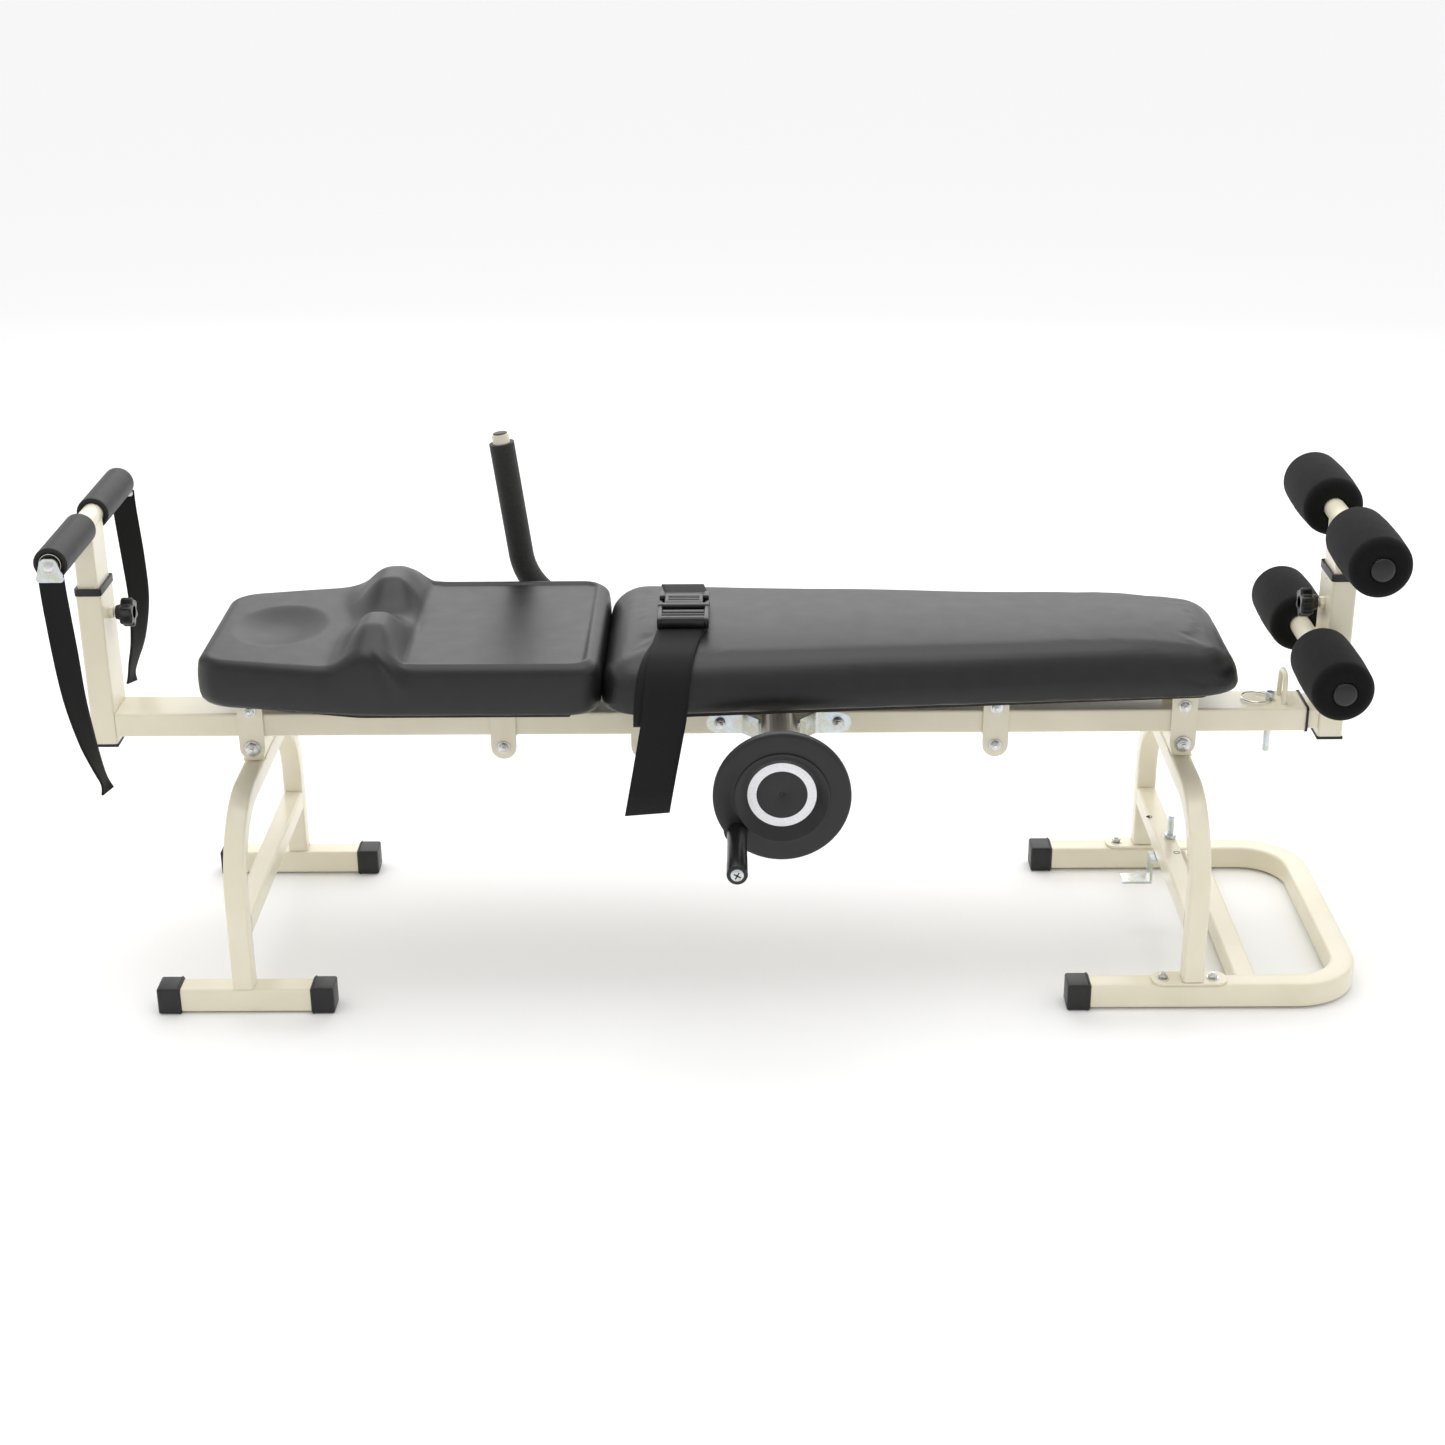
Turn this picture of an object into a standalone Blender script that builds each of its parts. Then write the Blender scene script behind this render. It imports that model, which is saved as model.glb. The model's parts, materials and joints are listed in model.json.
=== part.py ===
"""A stretching bed: a beam on two folding leg frames, a head pad, a sliding body pad and ankle rollers.

Metres, +Z up. Sizes are in bed coordinates: X along the bed from head to feet, Y across it with the
beam in the middle, Z up from the floor. At the end the whole bed moves so that the origin is at the
bottom centre of its box.
"""
import math

import bmesh
import bpy
from mathutils import Matrix, Vector

for old in list(bpy.data.objects):
    bpy.data.objects.remove(old)

# Fits
TOUCH = 0.0003            # gap between pieces that touch
SLIDE = 0.0005            # clearance each side of a sliding tube
PIN_PLAY = 0.0003         # radial clearance of a pin in its hole

# Main beam
BEAM_HEAD_X = -0.765
BEAM_FOOT_X = 0.6875
BEAM_WIDTH = 0.060
BEAM_HEIGHT = 0.030
BEAM_WALL = 0.002
BEAM_Z = 0.3035           # height of its middle
BEAM_TOP = BEAM_Z + BEAM_HEIGHT / 2
BEAM_BOTTOM = BEAM_Z - BEAM_HEIGHT / 2

# Posts at the two ends
SLEEVE_DEPTH = 0.030      # along X
SLEEVE_WALL = 0.0015
POST_WALL = 0.0015
POST_DEPTH = SLEEVE_DEPTH - 2 * SLEEVE_WALL - 4 * SLIDE
POST_WIDTH = BEAM_WIDTH - 2 * SLEEVE_WALL - 4 * SLIDE
HEAD_SLEEVE_X = BEAM_HEAD_X - SLEEVE_DEPTH / 2
HEAD_SLEEVE_Z = (0.279, 0.476)
HEAD_POST_FOOT = 0.345
HEAD_BAR_Z = 0.5560
ANKLE_SLEEVE_GAP = 0.0153  # from the beam's end to the ankle sleeve
ANKLE_SLEEVE_X = BEAM_FOOT_X + ANKLE_SLEEVE_GAP + SLEEVE_DEPTH / 2
ANKLE_SLEEVE_Z = (0.281, 0.4855)
ANKLE_POST_FOOT = 0.360
UPPER_BAR_Z = 0.547
LOWER_BAR_Z = 0.397
BAR_RADIUS = 0.0127
BAR_WALL = 0.0015

# Head grips and hand straps
GRIP_RADIUS = 0.0195
GRIP_LENGTH = 0.131
STRAP_PLATE = 0.0023
STRAP_WIDTH = 0.030
STRAP_LENGTH = 0.250
STRAP_THICKNESS = 0.003

# Foam rollers
ROLLER_RADIUS = 0.038
ROLLER_LENGTH = 0.130
ROLLER_EDGE = 0.010
ROLLER_PLAY = 0.0010

# Star knobs
KNOB_RADIUS = 0.020
KNOB_THICKNESS = 0.016
KNOB_STUD_RADIUS = 0.004
HEAD_KNOB_Z = 0.4406
ANKLE_KNOB_Z = 0.4450

# Telescoping ankle tube and its lock pin
TUBE_CLEARANCE = 0.0005
TUBE_WALL = 0.0015
TUBE_LENGTH = 0.232
PIN_X = 0.6478
PIN_RADIUS = 0.004
PIN_HOLE_PITCH = 0.025
PIN_HOLES = 7
PIN_TIP_Z = 0.2508
PIN_HEAD_RADIUS = 0.0055
PIN_HEAD_HEIGHT = 0.010
RING_RADIUS = 0.0175
RING_WIRE = 0.0010
LOOP_X = 0.6620
LOOP_HALF_WIDTH = 0.0190
LOOP_HEIGHT = 0.041
LOOP_WIRE = 0.0032

# Saddle brackets over the beam
SADDLE_WIDTH = 0.031
SADDLE_PLATE = 0.004
SADDLE_TOP = 0.3517
SADDLE_CLEARANCE = 0.0004
BOLT_RADIUS = 0.004
BOLT_HEAD_RADIUS = 0.0075
BOLT_HEAD = 0.006
UPPER_BOLT_Z = BEAM_TOP + BOLT_RADIUS + 0.0011
HEAD_PIVOT_X = -0.599
FOOT_PIVOT_X = 0.538
PIVOT_DROP = 0.014        # pivot axis below the beam
PIVOT_Z = BEAM_BOTTOM - PIVOT_DROP
HEAD_PAD_SADDLE_X = -0.291
CARRIAGE_SADDLES_X = (-0.1195, 0.3095)

# Leg frames
LEG_TUBE = 0.025
LEG_WALL = 0.0015
LEG_Y = 0.1895            # middle of a leg
LEG_BEND = 0.100
LEG_CORNER = 0.003
ARCH_GAP = 0.0018         # between the saddle's round end and the arch
ARCH_TOP = PIVOT_Z - SADDLE_WIDTH / 2 - ARCH_GAP
LUG_RADIUS = 0.0122
BRACE_Z = 0.1075
FOOT_TUBE = 0.030
FOOT_WALL = 0.0015
FOOT_Y = 0.1875
FOOT_LENGTH = 0.206
FOOT_X = -0.597
CAP_SIZE = 0.034
CAP_LENGTH = 0.0285
CAP_END = 0.003
FOOT_Z = CAP_SIZE / 2     # middle of the foot tubes
BASE_HEAD_X = 0.3915
BASE_FOOT_X = 0.7480
BASE_BEND = 0.068
CROSSBAR_X = 0.606
CROSSBAR_TUBE = 0.026
BASE_PLATE = (0.0905, 0.0300, 0.0030)
BASE_PLATE_X = 0.535
STUD_X = 0.543
STUD_Y = 0.024
STOP_PLATE = 0.003
STOP_WIDTH = 0.025
STOP_DROP = 0.031
STOP_REACH = 0.034

# Pads
BOARD_THICKNESS = 0.012
BOARD_INSET = 0.033
BOARD_Z = SADDLE_TOP + TOUCH
PAD_Z = BOARD_Z + BOARD_THICKNESS + TOUCH
PAD_THICKNESS = 0.063
PAD_EDGE = 0.014
HEAD_PAD_X = (-0.650, -0.168)
HEAD_PAD_HALF = (0.118, 0.158)
HEAD_PAD_SHOULDER = 0.200  # how far from the head end the pad reaches its full width
HEAD_PAD_CORNER = 0.036
HUMP_X = -0.4285
HUMP_RADIUS = 0.042
HUMP_TOP = 0.464
HUMP_HALF = 0.145
BODY_PAD_X = (-0.160, 0.590)
BODY_PAD_HALF = (0.165, 0.108)
BODY_PAD_CORNER = 0.045

# Traction drive
TRAVEL = 0.030
CRANK_X = 0.0455
CRANK_Z = BEAM_Z
MODULE = 0.0015
PINION_TEETH = 10
PINION_RADIUS = MODULE * PINION_TEETH / 2
TOOTH_SHARE = 0.36        # tooth thickness over pitch, which leaves room to run
GEAR_WIDTH = 0.012
RACK_WIDTH = 0.010
RACK_X = (-0.020, 0.110)
LUG_X = (0.092, 0.106)
SHAFT_RADIUS = 0.006
HOUSING_RADIUS = 0.0217
HOUSING_WALL = 0.0030
HOUSING_END_Y = -0.2320
WHEEL_RADIUS = 0.0790
WHEEL_BACK_Y = -0.2380
WHEEL_FACE_Y = -0.2500
DISH_RADIUS = 0.0550       # the lip round the wheel's dished middle
DISH_LIP = 0.0018          # how far the lip stands out from the face
DISH_FLOOR_RADIUS = 0.0405
DISH_FLOOR_Y = -0.2412
DISH_FLOOR_WALL = 0.0022
CRANK_GRIP_OFFSET = (-0.0512, -0.0430)
CRANK_GRIP_RADIUS = 0.0120
CRANK_GRIP_LENGTH = 0.1090
GRIP_SCREW_RADIUS = 0.0086
BRACKET_HEIGHT = 0.0270
BRACKET_PLATE = 0.0030
BRACKET_REACH = 0.0240    # how far the bracket stands out from the beam

# Waist belt
BELT_X = -0.072
BELT_WIDTH = 0.050
BELT_THICKNESS = 0.003
BELT_TAIL_DROP = 0.110
BUCKLE = (0.062, 0.100, 0.014)
BUCKLE_Y = 0.0

# Arm bar
ARM_X = -0.200
ARM_Z = 0.328
ARM_Y = 0.205
ARM_RADIUS = 0.0110
ARM_WALL = 0.0015
ARM_FOAM_RADIUS = 0.0160
ARM_BEND = (-0.268, 0.400)
ARM_TOP = (-0.3035, 0.603)
ARM_PLATE = 0.004
ARM_BOSS_RADIUS = 0.0165

bed_collection = bpy.data.collections.new("stretching_bed")
tool_collection = bpy.data.collections.new("cutters")
bpy.context.scene.collection.children.link(bed_collection)
bpy.context.scene.collection.children.link(tool_collection)
tool_collection.hide_render = True

bed = bpy.data.objects.new("bed", None)
bed_collection.objects.link(bed)


def paint(name, colour, roughness, metallic=0.0):
    material = bpy.data.materials.new(name)
    material.use_nodes = True
    shader = material.node_tree.nodes["Principled BSDF"]
    shader.inputs["Base Color"].default_value = (*colour, 1.0)
    shader.inputs["Roughness"].default_value = roughness
    shader.inputs["Metallic"].default_value = metallic
    return material


def own(base, name):
    """A copy of a finish for one piece."""
    material = base.copy()
    material.name = name
    return material


BEIGE = paint("beige_paint", (0.80, 0.74, 0.58), 0.35)
ZINC = paint("zinc_plate", (0.72, 0.74, 0.76), 0.30, 1.0)
BLACK = paint("black_plastic", (0.020, 0.020, 0.022), 0.45)
FOAM = paint("black_foam", (0.012, 0.012, 0.012), 0.90)
LEATHER = paint("black_vinyl", (0.045, 0.045, 0.047), 0.45)
WEBBING = paint("black_webbing", (0.010, 0.010, 0.010), 0.85)
PLYWOOD = paint("plywood", (0.30, 0.21, 0.12), 0.70)
STEEL = paint("bright_steel", (0.60, 0.60, 0.61), 0.35, 1.0)


# ---- shapes -------------------------------------------------------------------------------------

def mesh_object(name, build, finish=None, place=(0, 0, 0), smooth=40):
    """A mesh object from a filled bmesh, closed, facing out, with its origin at place."""
    bmesh.ops.remove_doubles(build, verts=build.verts, dist=1e-6)
    bmesh.ops.recalc_face_normals(build, faces=build.faces)
    mesh = bpy.data.meshes.new(name)
    build.to_mesh(mesh)
    build.free()
    mesh.transform(Matrix.Translation(-Vector(place)))
    mesh.shade_smooth()
    mesh.set_sharp_from_angle(angle=math.radians(smooth))
    piece = bpy.data.objects.new(name, mesh)
    piece.location = place
    piece.parent = bed
    if finish is None:
        tool_collection.objects.link(piece)
        piece.hide_render = True
        piece.display_type = "WIRE"
    else:
        bed_collection.objects.link(piece)
        mesh.materials.append(own(finish, name + "_finish"))
    return piece


def to_axis(axis):
    """Turns a shape made along local Z so that it lies along the named axis."""
    if axis == "X":
        return Matrix(((0, 0, 1, 0), (1, 0, 0, 0), (0, 1, 0, 0), (0, 0, 0, 1)))
    if axis == "Y":
        return Matrix(((1, 0, 0, 0), (0, 0, 1, 0), (0, 1, 0, 0), (0, 0, 0, 1)))
    return Matrix.Identity(4)


def rounded(width, height, radius, steps=3):
    """The outline of a rectangle with round corners, about its own middle."""
    points = []
    for corner in range(4):
        sx = (1, -1, -1, 1)[corner]
        sy = (1, 1, -1, -1)[corner]
        for step in range(steps + 1):
            angle = math.radians(90 * corner + 90 * step / steps)
            points.append((sx * (width / 2 - radius) + radius * math.cos(angle),
                           sy * (height / 2 - radius) + radius * math.sin(angle)))
    return points


def circle(radius, steps=24, centre=(0, 0)):
    turn = 2 * math.pi / steps
    return [(centre[0] + radius * math.cos(turn * k), centre[1] + radius * math.sin(turn * k))
            for k in range(steps)]


def filleted(corners, radii, steps=5):
    """The points of a polygon in the plane whose corners are rounded by the radii given."""
    points = []
    count = len(corners)
    for k in range(count):
        before, at, after = (Vector(corners[(k + d) % count]) for d in (-1, 0, 1))
        into, out = (at - before).normalized(), (after - at).normalized()
        turn = into.angle(out)
        if radii[k] == 0 or turn < 1e-4:
            points.append(tuple(at))
            continue
        start = at - into * radii[k] * math.tan(turn / 2)
        side = Vector((-into.y, into.x))
        if side.dot(out) < 0:
            side = -side
        middle = start + side * radii[k]
        for step in range(steps + 1):
            angle = turn * step / steps
            points.append(tuple(middle - side * radii[k] * math.cos(angle)
                                + into * radii[k] * math.sin(angle)))
    return points


def prism(name, loops, span, axis="Z", finish=None, place=None):
    """A flat outline, with a hole of as many points if two are given, drawn out along an axis."""
    build = bmesh.new()
    rings = [[build.verts.new((u, v, span[0])) for u, v in loop] for loop in loops]
    if len(rings) == 1:
        base = [build.faces.new(rings[0])]
    else:
        base = joined(build, *rings)
    grown = bmesh.ops.extrude_face_region(build, geom=base, use_keep_orig=True)["geom"]
    top = [item for item in grown if isinstance(item, bmesh.types.BMVert)]
    bmesh.ops.translate(build, vec=(0, 0, span[1] - span[0]), verts=top)
    bmesh.ops.transform(build, matrix=to_axis(axis), verts=build.verts)
    return mesh_object(name, build, finish, place or (0, 0, 0))


def joined(build, ring, other):
    """The quads between two rings of as many points."""
    count = len(ring)
    return [build.faces.new((ring[k], ring[(k + 1) % count], other[(k + 1) % count], other[k]))
            for k in range(count)]


def shifted(loop, du, dv):
    return [(u + du, v + dv) for u, v in loop]


def box(name, low, high, finish=None, place=None, edge=0.0):
    """A block between two corners, its edges bevelled by edge."""
    build = bmesh.new()
    bmesh.ops.create_cube(build, size=1.0)
    low, high = Vector(low), Vector(high)
    bmesh.ops.scale(build, vec=high - low, verts=build.verts)
    bmesh.ops.translate(build, vec=(low + high) / 2, verts=build.verts)
    if edge:
        bmesh.ops.bevel(build, geom=build.edges[:], offset=edge, segments=2, profile=0.5,
                        affect="EDGES")
    return mesh_object(name, build, finish, place or tuple((low + high) / 2))


def rod(name, radius, span, axis, centre, finish=None, place=None, steps=24, edge=0.0):
    """A cylinder along an axis. centre is its middle in the other two directions."""
    build = bmesh.new()
    length = span[1] - span[0]
    bmesh.ops.create_cone(build, cap_ends=True, segments=steps, radius1=radius, radius2=radius,
                          depth=length)
    if edge:
        rims = [e for e in build.edges if len({round(v.co.z, 6) for v in e.verts}) == 1]
        bmesh.ops.bevel(build, geom=rims, offset=edge, segments=3, profile=0.5, affect="EDGES")
    bmesh.ops.translate(build, vec=(centre[0], centre[1], (span[0] + span[1]) / 2),
                        verts=build.verts)
    bmesh.ops.transform(build, matrix=to_axis(axis), verts=build.verts)
    return mesh_object(name, build, finish, place or (0, 0, 0))


def turned(name, profile, axis, centre, finish=None, place=None, steps=36):
    """A profile of (radius, height) points, from axis to axis, spun about an axis."""
    build = bmesh.new()
    verts = [build.verts.new((r, 0, h)) for r, h in profile]
    edges = [build.edges.new(pair) for pair in zip(verts, verts[1:])]
    bmesh.ops.spin(build, geom=verts + edges, axis=(0, 0, 1), cent=(0, 0, 0),
                   angle=2 * math.pi, steps=steps, use_merge=True)
    bmesh.ops.translate(build, vec=(centre[0], centre[1], 0), verts=build.verts)
    bmesh.ops.transform(build, matrix=to_axis(axis), verts=build.verts)
    return mesh_object(name, build, finish, place or (0, 0, 0))


def arc_path(corners, radii, steps=6):
    """Points of an open path in space whose inner corners are rounded by the radii given."""
    points = [Vector(corners[0])]
    for k in range(1, len(corners) - 1):
        before, at, after = (Vector(corners[k + d]) for d in (-1, 0, 1))
        into, out = (at - before).normalized(), (after - at).normalized()
        turn = into.angle(out)
        start = at - into * radii[k - 1] * math.tan(turn / 2)
        side = (out - into * out.dot(into)).normalized()
        middle = start + side * radii[k - 1]
        for step in range(steps + 1):
            angle = turn * step / steps
            points.append(middle - side * radii[k - 1] * math.cos(angle)
                          + into * radii[k - 1] * math.sin(angle))
    points.append(Vector(corners[-1]))
    return points


def swept(name, points, loops, finish, place=(0, 0, 0)):
    """Section outlines carried along a path that stays in one plane: a tube, or a bar from one loop."""
    build = bmesh.new()
    legs = [(after - before).normalized() for before, after in zip(points, points[1:])]
    flat = next((legs[0].cross(leg) for leg in legs if legs[0].angle(leg) > 0.1), None)
    flat = flat.normalized() if flat else legs[0].orthogonal().normalized()
    sections = []
    for k, point in enumerate(points):
        leg = legs[max(k - 1, 0)]
        ahead = legs[min(k, len(legs) - 1)]
        mitre = (leg + ahead).normalized()
        side = flat.cross(leg).normalized()
        rings = []
        for loop in loops:
            ring = []
            for u, v in loop:
                offset = side * u + flat * v
                offset -= leg * (offset.dot(mitre) / leg.dot(mitre))
                ring.append(build.verts.new(point + offset))
            rings.append(ring)
        sections.append(rings)
    for before, after in zip(sections, sections[1:]):
        for ring, other in zip(before, after):
            joined(build, ring, other)
    for rings in (sections[0], sections[-1]):
        if len(rings) == 1:
            build.faces.new(rings[0])
        else:
            joined(build, *rings)
    return mesh_object(name, build, finish, place)


def tube_loops(width, height, wall, corner=0.003, steps=3):
    inner = max(corner - wall, 0.0008)
    return [rounded(width, height, corner, steps),
            rounded(width - 2 * wall, height - 2 * wall, inner, steps)]


def pipe_loops(radius, wall, steps=20):
    """Two circles: the outer one inside the radius, and the inner one clear of what it goes round."""
    return [circle(radius, steps), circle((radius - wall) / math.cos(math.pi / steps), steps)]


def combine(piece, tool, operation):
    """Cuts the tool from the piece, or joins it on, with a Boolean."""
    change = piece.modifiers.new(tool.name, "BOOLEAN")
    change.operation = operation
    change.object = tool
    return piece


def cut(piece, tool):
    return combine(piece, tool, "DIFFERENCE")


def join(piece, tool):
    return combine(piece, tool, "UNION")


# ---- main beam ----------------------------------------------------------------------------------

def make_beam():
    loops = [shifted(loop, 0, BEAM_Z) for loop in tube_loops(BEAM_WIDTH, BEAM_HEIGHT, BEAM_WALL)]
    beam = prism("main_beam", loops, (BEAM_HEAD_X + TOUCH, BEAM_FOOT_X), "X", BEIGE)
    slot_low = (LUG_X[0] - 2 * SLIDE, -RACK_WIDTH / 2 - 2 * SLIDE, BEAM_Z)
    slot_high = (LUG_X[1] + TRAVEL + 2 * SLIDE, RACK_WIDTH / 2 + 2 * SLIDE, BEAM_TOP + BEAM_WALL)
    cut(beam, box("beam_slot", slot_low, slot_high))
    cut(beam, rod("beam_shaft_hole", SHAFT_RADIUS + 2 * PIN_PLAY, (-BEAM_WIDTH, BEAM_WIDTH), "Y",
                  (CRANK_X, CRANK_Z)))
    cut(beam, rod("beam_pin_hole", PIN_RADIUS + PIN_PLAY, (BEAM_BOTTOM - BEAM_WALL, BEAM_TOP + BEAM_WALL),
                  "Z", (PIN_X, 0), steps=16))
    low = BEAM_TOP - BEAM_WALL / 2
    top = BEAM_TOP + LOOP_HEIGHT - LOOP_WIRE
    half = LOOP_HALF_WIDTH - LOOP_WIRE
    path = arc_path([(LOOP_X, -half, low), (LOOP_X, -half * 0.75, top), (LOOP_X, half * 0.75, top),
                     (LOOP_X, half, low)], (0.010, 0.010), steps=5)
    join(beam, swept("rail_loop", path, [circle(LOOP_WIRE, 12)], None))


def make_saddle(name, x, pivot, clearance=SADDLE_CLEARANCE):
    """An upside-down U of plate over the beam, its ends round about the lower bolt."""
    inner = BEAM_WIDTH / 2 + clearance
    half = SADDLE_WIDTH / 2
    arc = [(x + half * math.cos(a), PIVOT_Z + half * math.sin(a))
           for a in (math.radians(180 + 180 * k / 12) for k in range(13))]
    side = [(x + half, SADDLE_TOP), (x - half, SADDLE_TOP)] + arc
    saddle = prism(name, [side], (-inner - SADDLE_PLATE, -inner), "Y", BEIGE,
                   (x, 0, PIVOT_Z))
    join(saddle, prism(name + "_far", [side], (inner, inner + SADDLE_PLATE), "Y"))
    join(saddle, box(name + "_web", (x - half, -inner - SADDLE_PLATE / 2, SADDLE_TOP - SADDLE_PLATE),
                     (x + half, inner + SADDLE_PLATE / 2, SADDLE_TOP)))
    reach = inner + 2 * SADDLE_PLATE
    for tag, z in (("lower", PIVOT_Z), ("upper", UPPER_BOLT_Z)):
        if tag == "lower" or pivot:
            cut(saddle, rod(f"{name}_{tag}_hole", BOLT_RADIUS + PIN_PLAY, (-reach, reach), "Y",
                            (x, z), steps=16))


def make_pivot_bolt(name, x):
    """A bolt through saddle and leg lug, with its head on one side and its nut on the other."""
    outside = BEAM_WIDTH / 2 + SADDLE_CLEARANCE + SADDLE_PLATE + TOUCH
    bolt = rod(name, BOLT_RADIUS, (-outside - BOLT_HEAD - 0.003, outside + 0.001), "Y",
               (x, PIVOT_Z), ZINC, (x, 0, PIVOT_Z), steps=16)
    join(bolt, rod(name + "_nut", BOLT_HEAD_RADIUS, (-outside - BOLT_HEAD, -outside), "Y",
                   (x, PIVOT_Z), steps=6))
    join(bolt, rod(name + "_head", BOLT_HEAD_RADIUS, (outside, outside + BOLT_HEAD), "Y",
                   (x, PIVOT_Z), steps=6))


# ---- leg frames ---------------------------------------------------------------------------------

def make_arch(name, x, foot_top):
    """The bent tube of a leg frame, with the lug on top that the pivot bolt goes through."""
    middle_z = ARCH_TOP - LEG_TUBE / 2
    corners = [(x, -LEG_Y, foot_top), (x, -LEG_Y, middle_z), (x, LEG_Y, middle_z), (x, LEG_Y, foot_top)]
    path = arc_path(corners, (LEG_BEND, LEG_BEND), steps=8)
    arch = swept(name, path, tube_loops(LEG_TUBE, LEG_TUBE, LEG_WALL, LEG_CORNER, 2), BEIGE,
                 (x, 0, PIVOT_Z))
    lug_half = BEAM_WIDTH / 2 - 2 * TOUCH
    sink = 0.001
    top = [(x + LUG_RADIUS * math.cos(a), PIVOT_Z + LUG_RADIUS * math.sin(a))
           for a in (math.radians(180 * k / 12) for k in range(13))]
    lug = [(x + LUG_RADIUS, ARCH_TOP - sink)] + top + [(x - LUG_RADIUS, ARCH_TOP - sink)]
    join(arch, prism(name + "_lug", [lug], (-lug_half, lug_half), "Y"))
    cut(arch, rod(name + "_bore", BOLT_RADIUS + PIN_PLAY, (-BEAM_WIDTH, BEAM_WIDTH), "Y",
                  (x, PIVOT_Z), steps=16))
    return arch


def make_brace(name, x):
    half = LEG_Y - LEG_TUBE / 2 - TOUCH
    loops = [shifted(loop, x, BRACE_Z) for loop in tube_loops(LEG_TUBE, LEG_TUBE, LEG_WALL)]
    return prism(name, loops, (-half, half), "Y", BEIGE, (x, 0, BRACE_Z))


def make_cap(name, open_x, outward, y):
    """A plastic cap over a foot tube's end. outward is +1 or -1 along X."""
    end_x = open_x + outward * CAP_LENGTH
    low_x, high_x = sorted((open_x, end_x))
    half = CAP_SIZE / 2
    cap = box(name, (low_x, y - half, 0), (high_x, y + half, CAP_SIZE), BLACK, edge=0.0012)
    pocket = FOOT_TUBE / 2 + TOUCH
    wall_x = end_x - outward * CAP_END
    low_x, high_x = sorted((open_x - outward * CAP_LENGTH, wall_x))
    cut(cap, box(name + "_pocket", (low_x, y - pocket, FOOT_Z - pocket),
                 (high_x, y + pocket, FOOT_Z + pocket)))


def make_head_leg():
    foot_top = FOOT_Z + FOOT_TUBE / 2 + TOUCH
    make_arch("head_leg_arch", HEAD_PIVOT_X, foot_top)
    make_brace("head_leg_brace", HEAD_PIVOT_X)
    loops = tube_loops(FOOT_TUBE, FOOT_TUBE, FOOT_WALL)
    for side, y in (("near", -FOOT_Y), ("far", FOOT_Y)):
        span = (FOOT_X - FOOT_LENGTH / 2, FOOT_X + FOOT_LENGTH / 2)
        prism(f"head_foot_{side}", [shifted(loop, y, FOOT_Z) for loop in loops], span, "X", BEIGE,
              (FOOT_X, y, FOOT_Z))
        reach = CAP_LENGTH - CAP_END - TOUCH
        make_cap(f"head_foot_cap_{side}_outer", span[0] + reach, -1, y)
        make_cap(f"head_foot_cap_{side}_inner", span[1] - reach, 1, y)


def make_foot_leg():
    rail_top = FOOT_Z + FOOT_TUBE / 2
    plate_low = rail_top + TOUCH
    plate_high = plate_low + BASE_PLATE[2]
    arch = make_arch("foot_leg_arch", FOOT_PIVOT_X, plate_high - 0.0005)
    for side, y in (("near", -FOOT_Y), ("far", FOOT_Y)):
        plate = shifted(rounded(BASE_PLATE[0], BASE_PLATE[1], 0.012, 4), BASE_PLATE_X, y)
        join(arch, prism(f"base_plate_{side}", [plate], (plate_low, plate_high)))
        cut(arch, rod(f"plate_vent_{side}", BOLT_RADIUS, (plate_low - 0.002, plate_high + 0.002), "Z",
                      (FOOT_PIVOT_X, y / FOOT_Y * LEG_Y), steps=16))
    brace = make_brace("foot_leg_brace", FOOT_PIVOT_X)
    cut(brace, rod("brace_stud_hole", BOLT_RADIUS + PIN_PLAY, (BRACE_Z - LEG_TUBE, BRACE_Z + LEG_TUBE),
                   "Z", (STUD_X, STUD_Y), steps=16))

    end_x = BASE_FOOT_X - FOOT_TUBE / 2
    corners = [(BASE_HEAD_X, -FOOT_Y, FOOT_Z), (end_x, -FOOT_Y, FOOT_Z), (end_x, FOOT_Y, FOOT_Z),
               (BASE_HEAD_X, FOOT_Y, FOOT_Z)]
    swept("base_rail", arc_path(corners, (BASE_BEND, BASE_BEND), steps=8),
          tube_loops(FOOT_TUBE, FOOT_TUBE, FOOT_WALL, LEG_CORNER, 2), BEIGE, (BASE_HEAD_X, 0, FOOT_Z))
    half = FOOT_Y - FOOT_TUBE / 2 - TOUCH
    loops = tube_loops(CROSSBAR_TUBE, CROSSBAR_TUBE, FOOT_WALL)
    prism("base_crossbar", [shifted(loop, CROSSBAR_X, FOOT_Z) for loop in loops], (-half, half), "Y",
          BEIGE, (CROSSBAR_X, 0, FOOT_Z))
    reach = CAP_LENGTH - CAP_END - TOUCH
    for side, y in (("near", -FOOT_Y), ("far", FOOT_Y)):
        make_cap(f"base_cap_{side}", BASE_HEAD_X + reach, -1, y)


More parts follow.
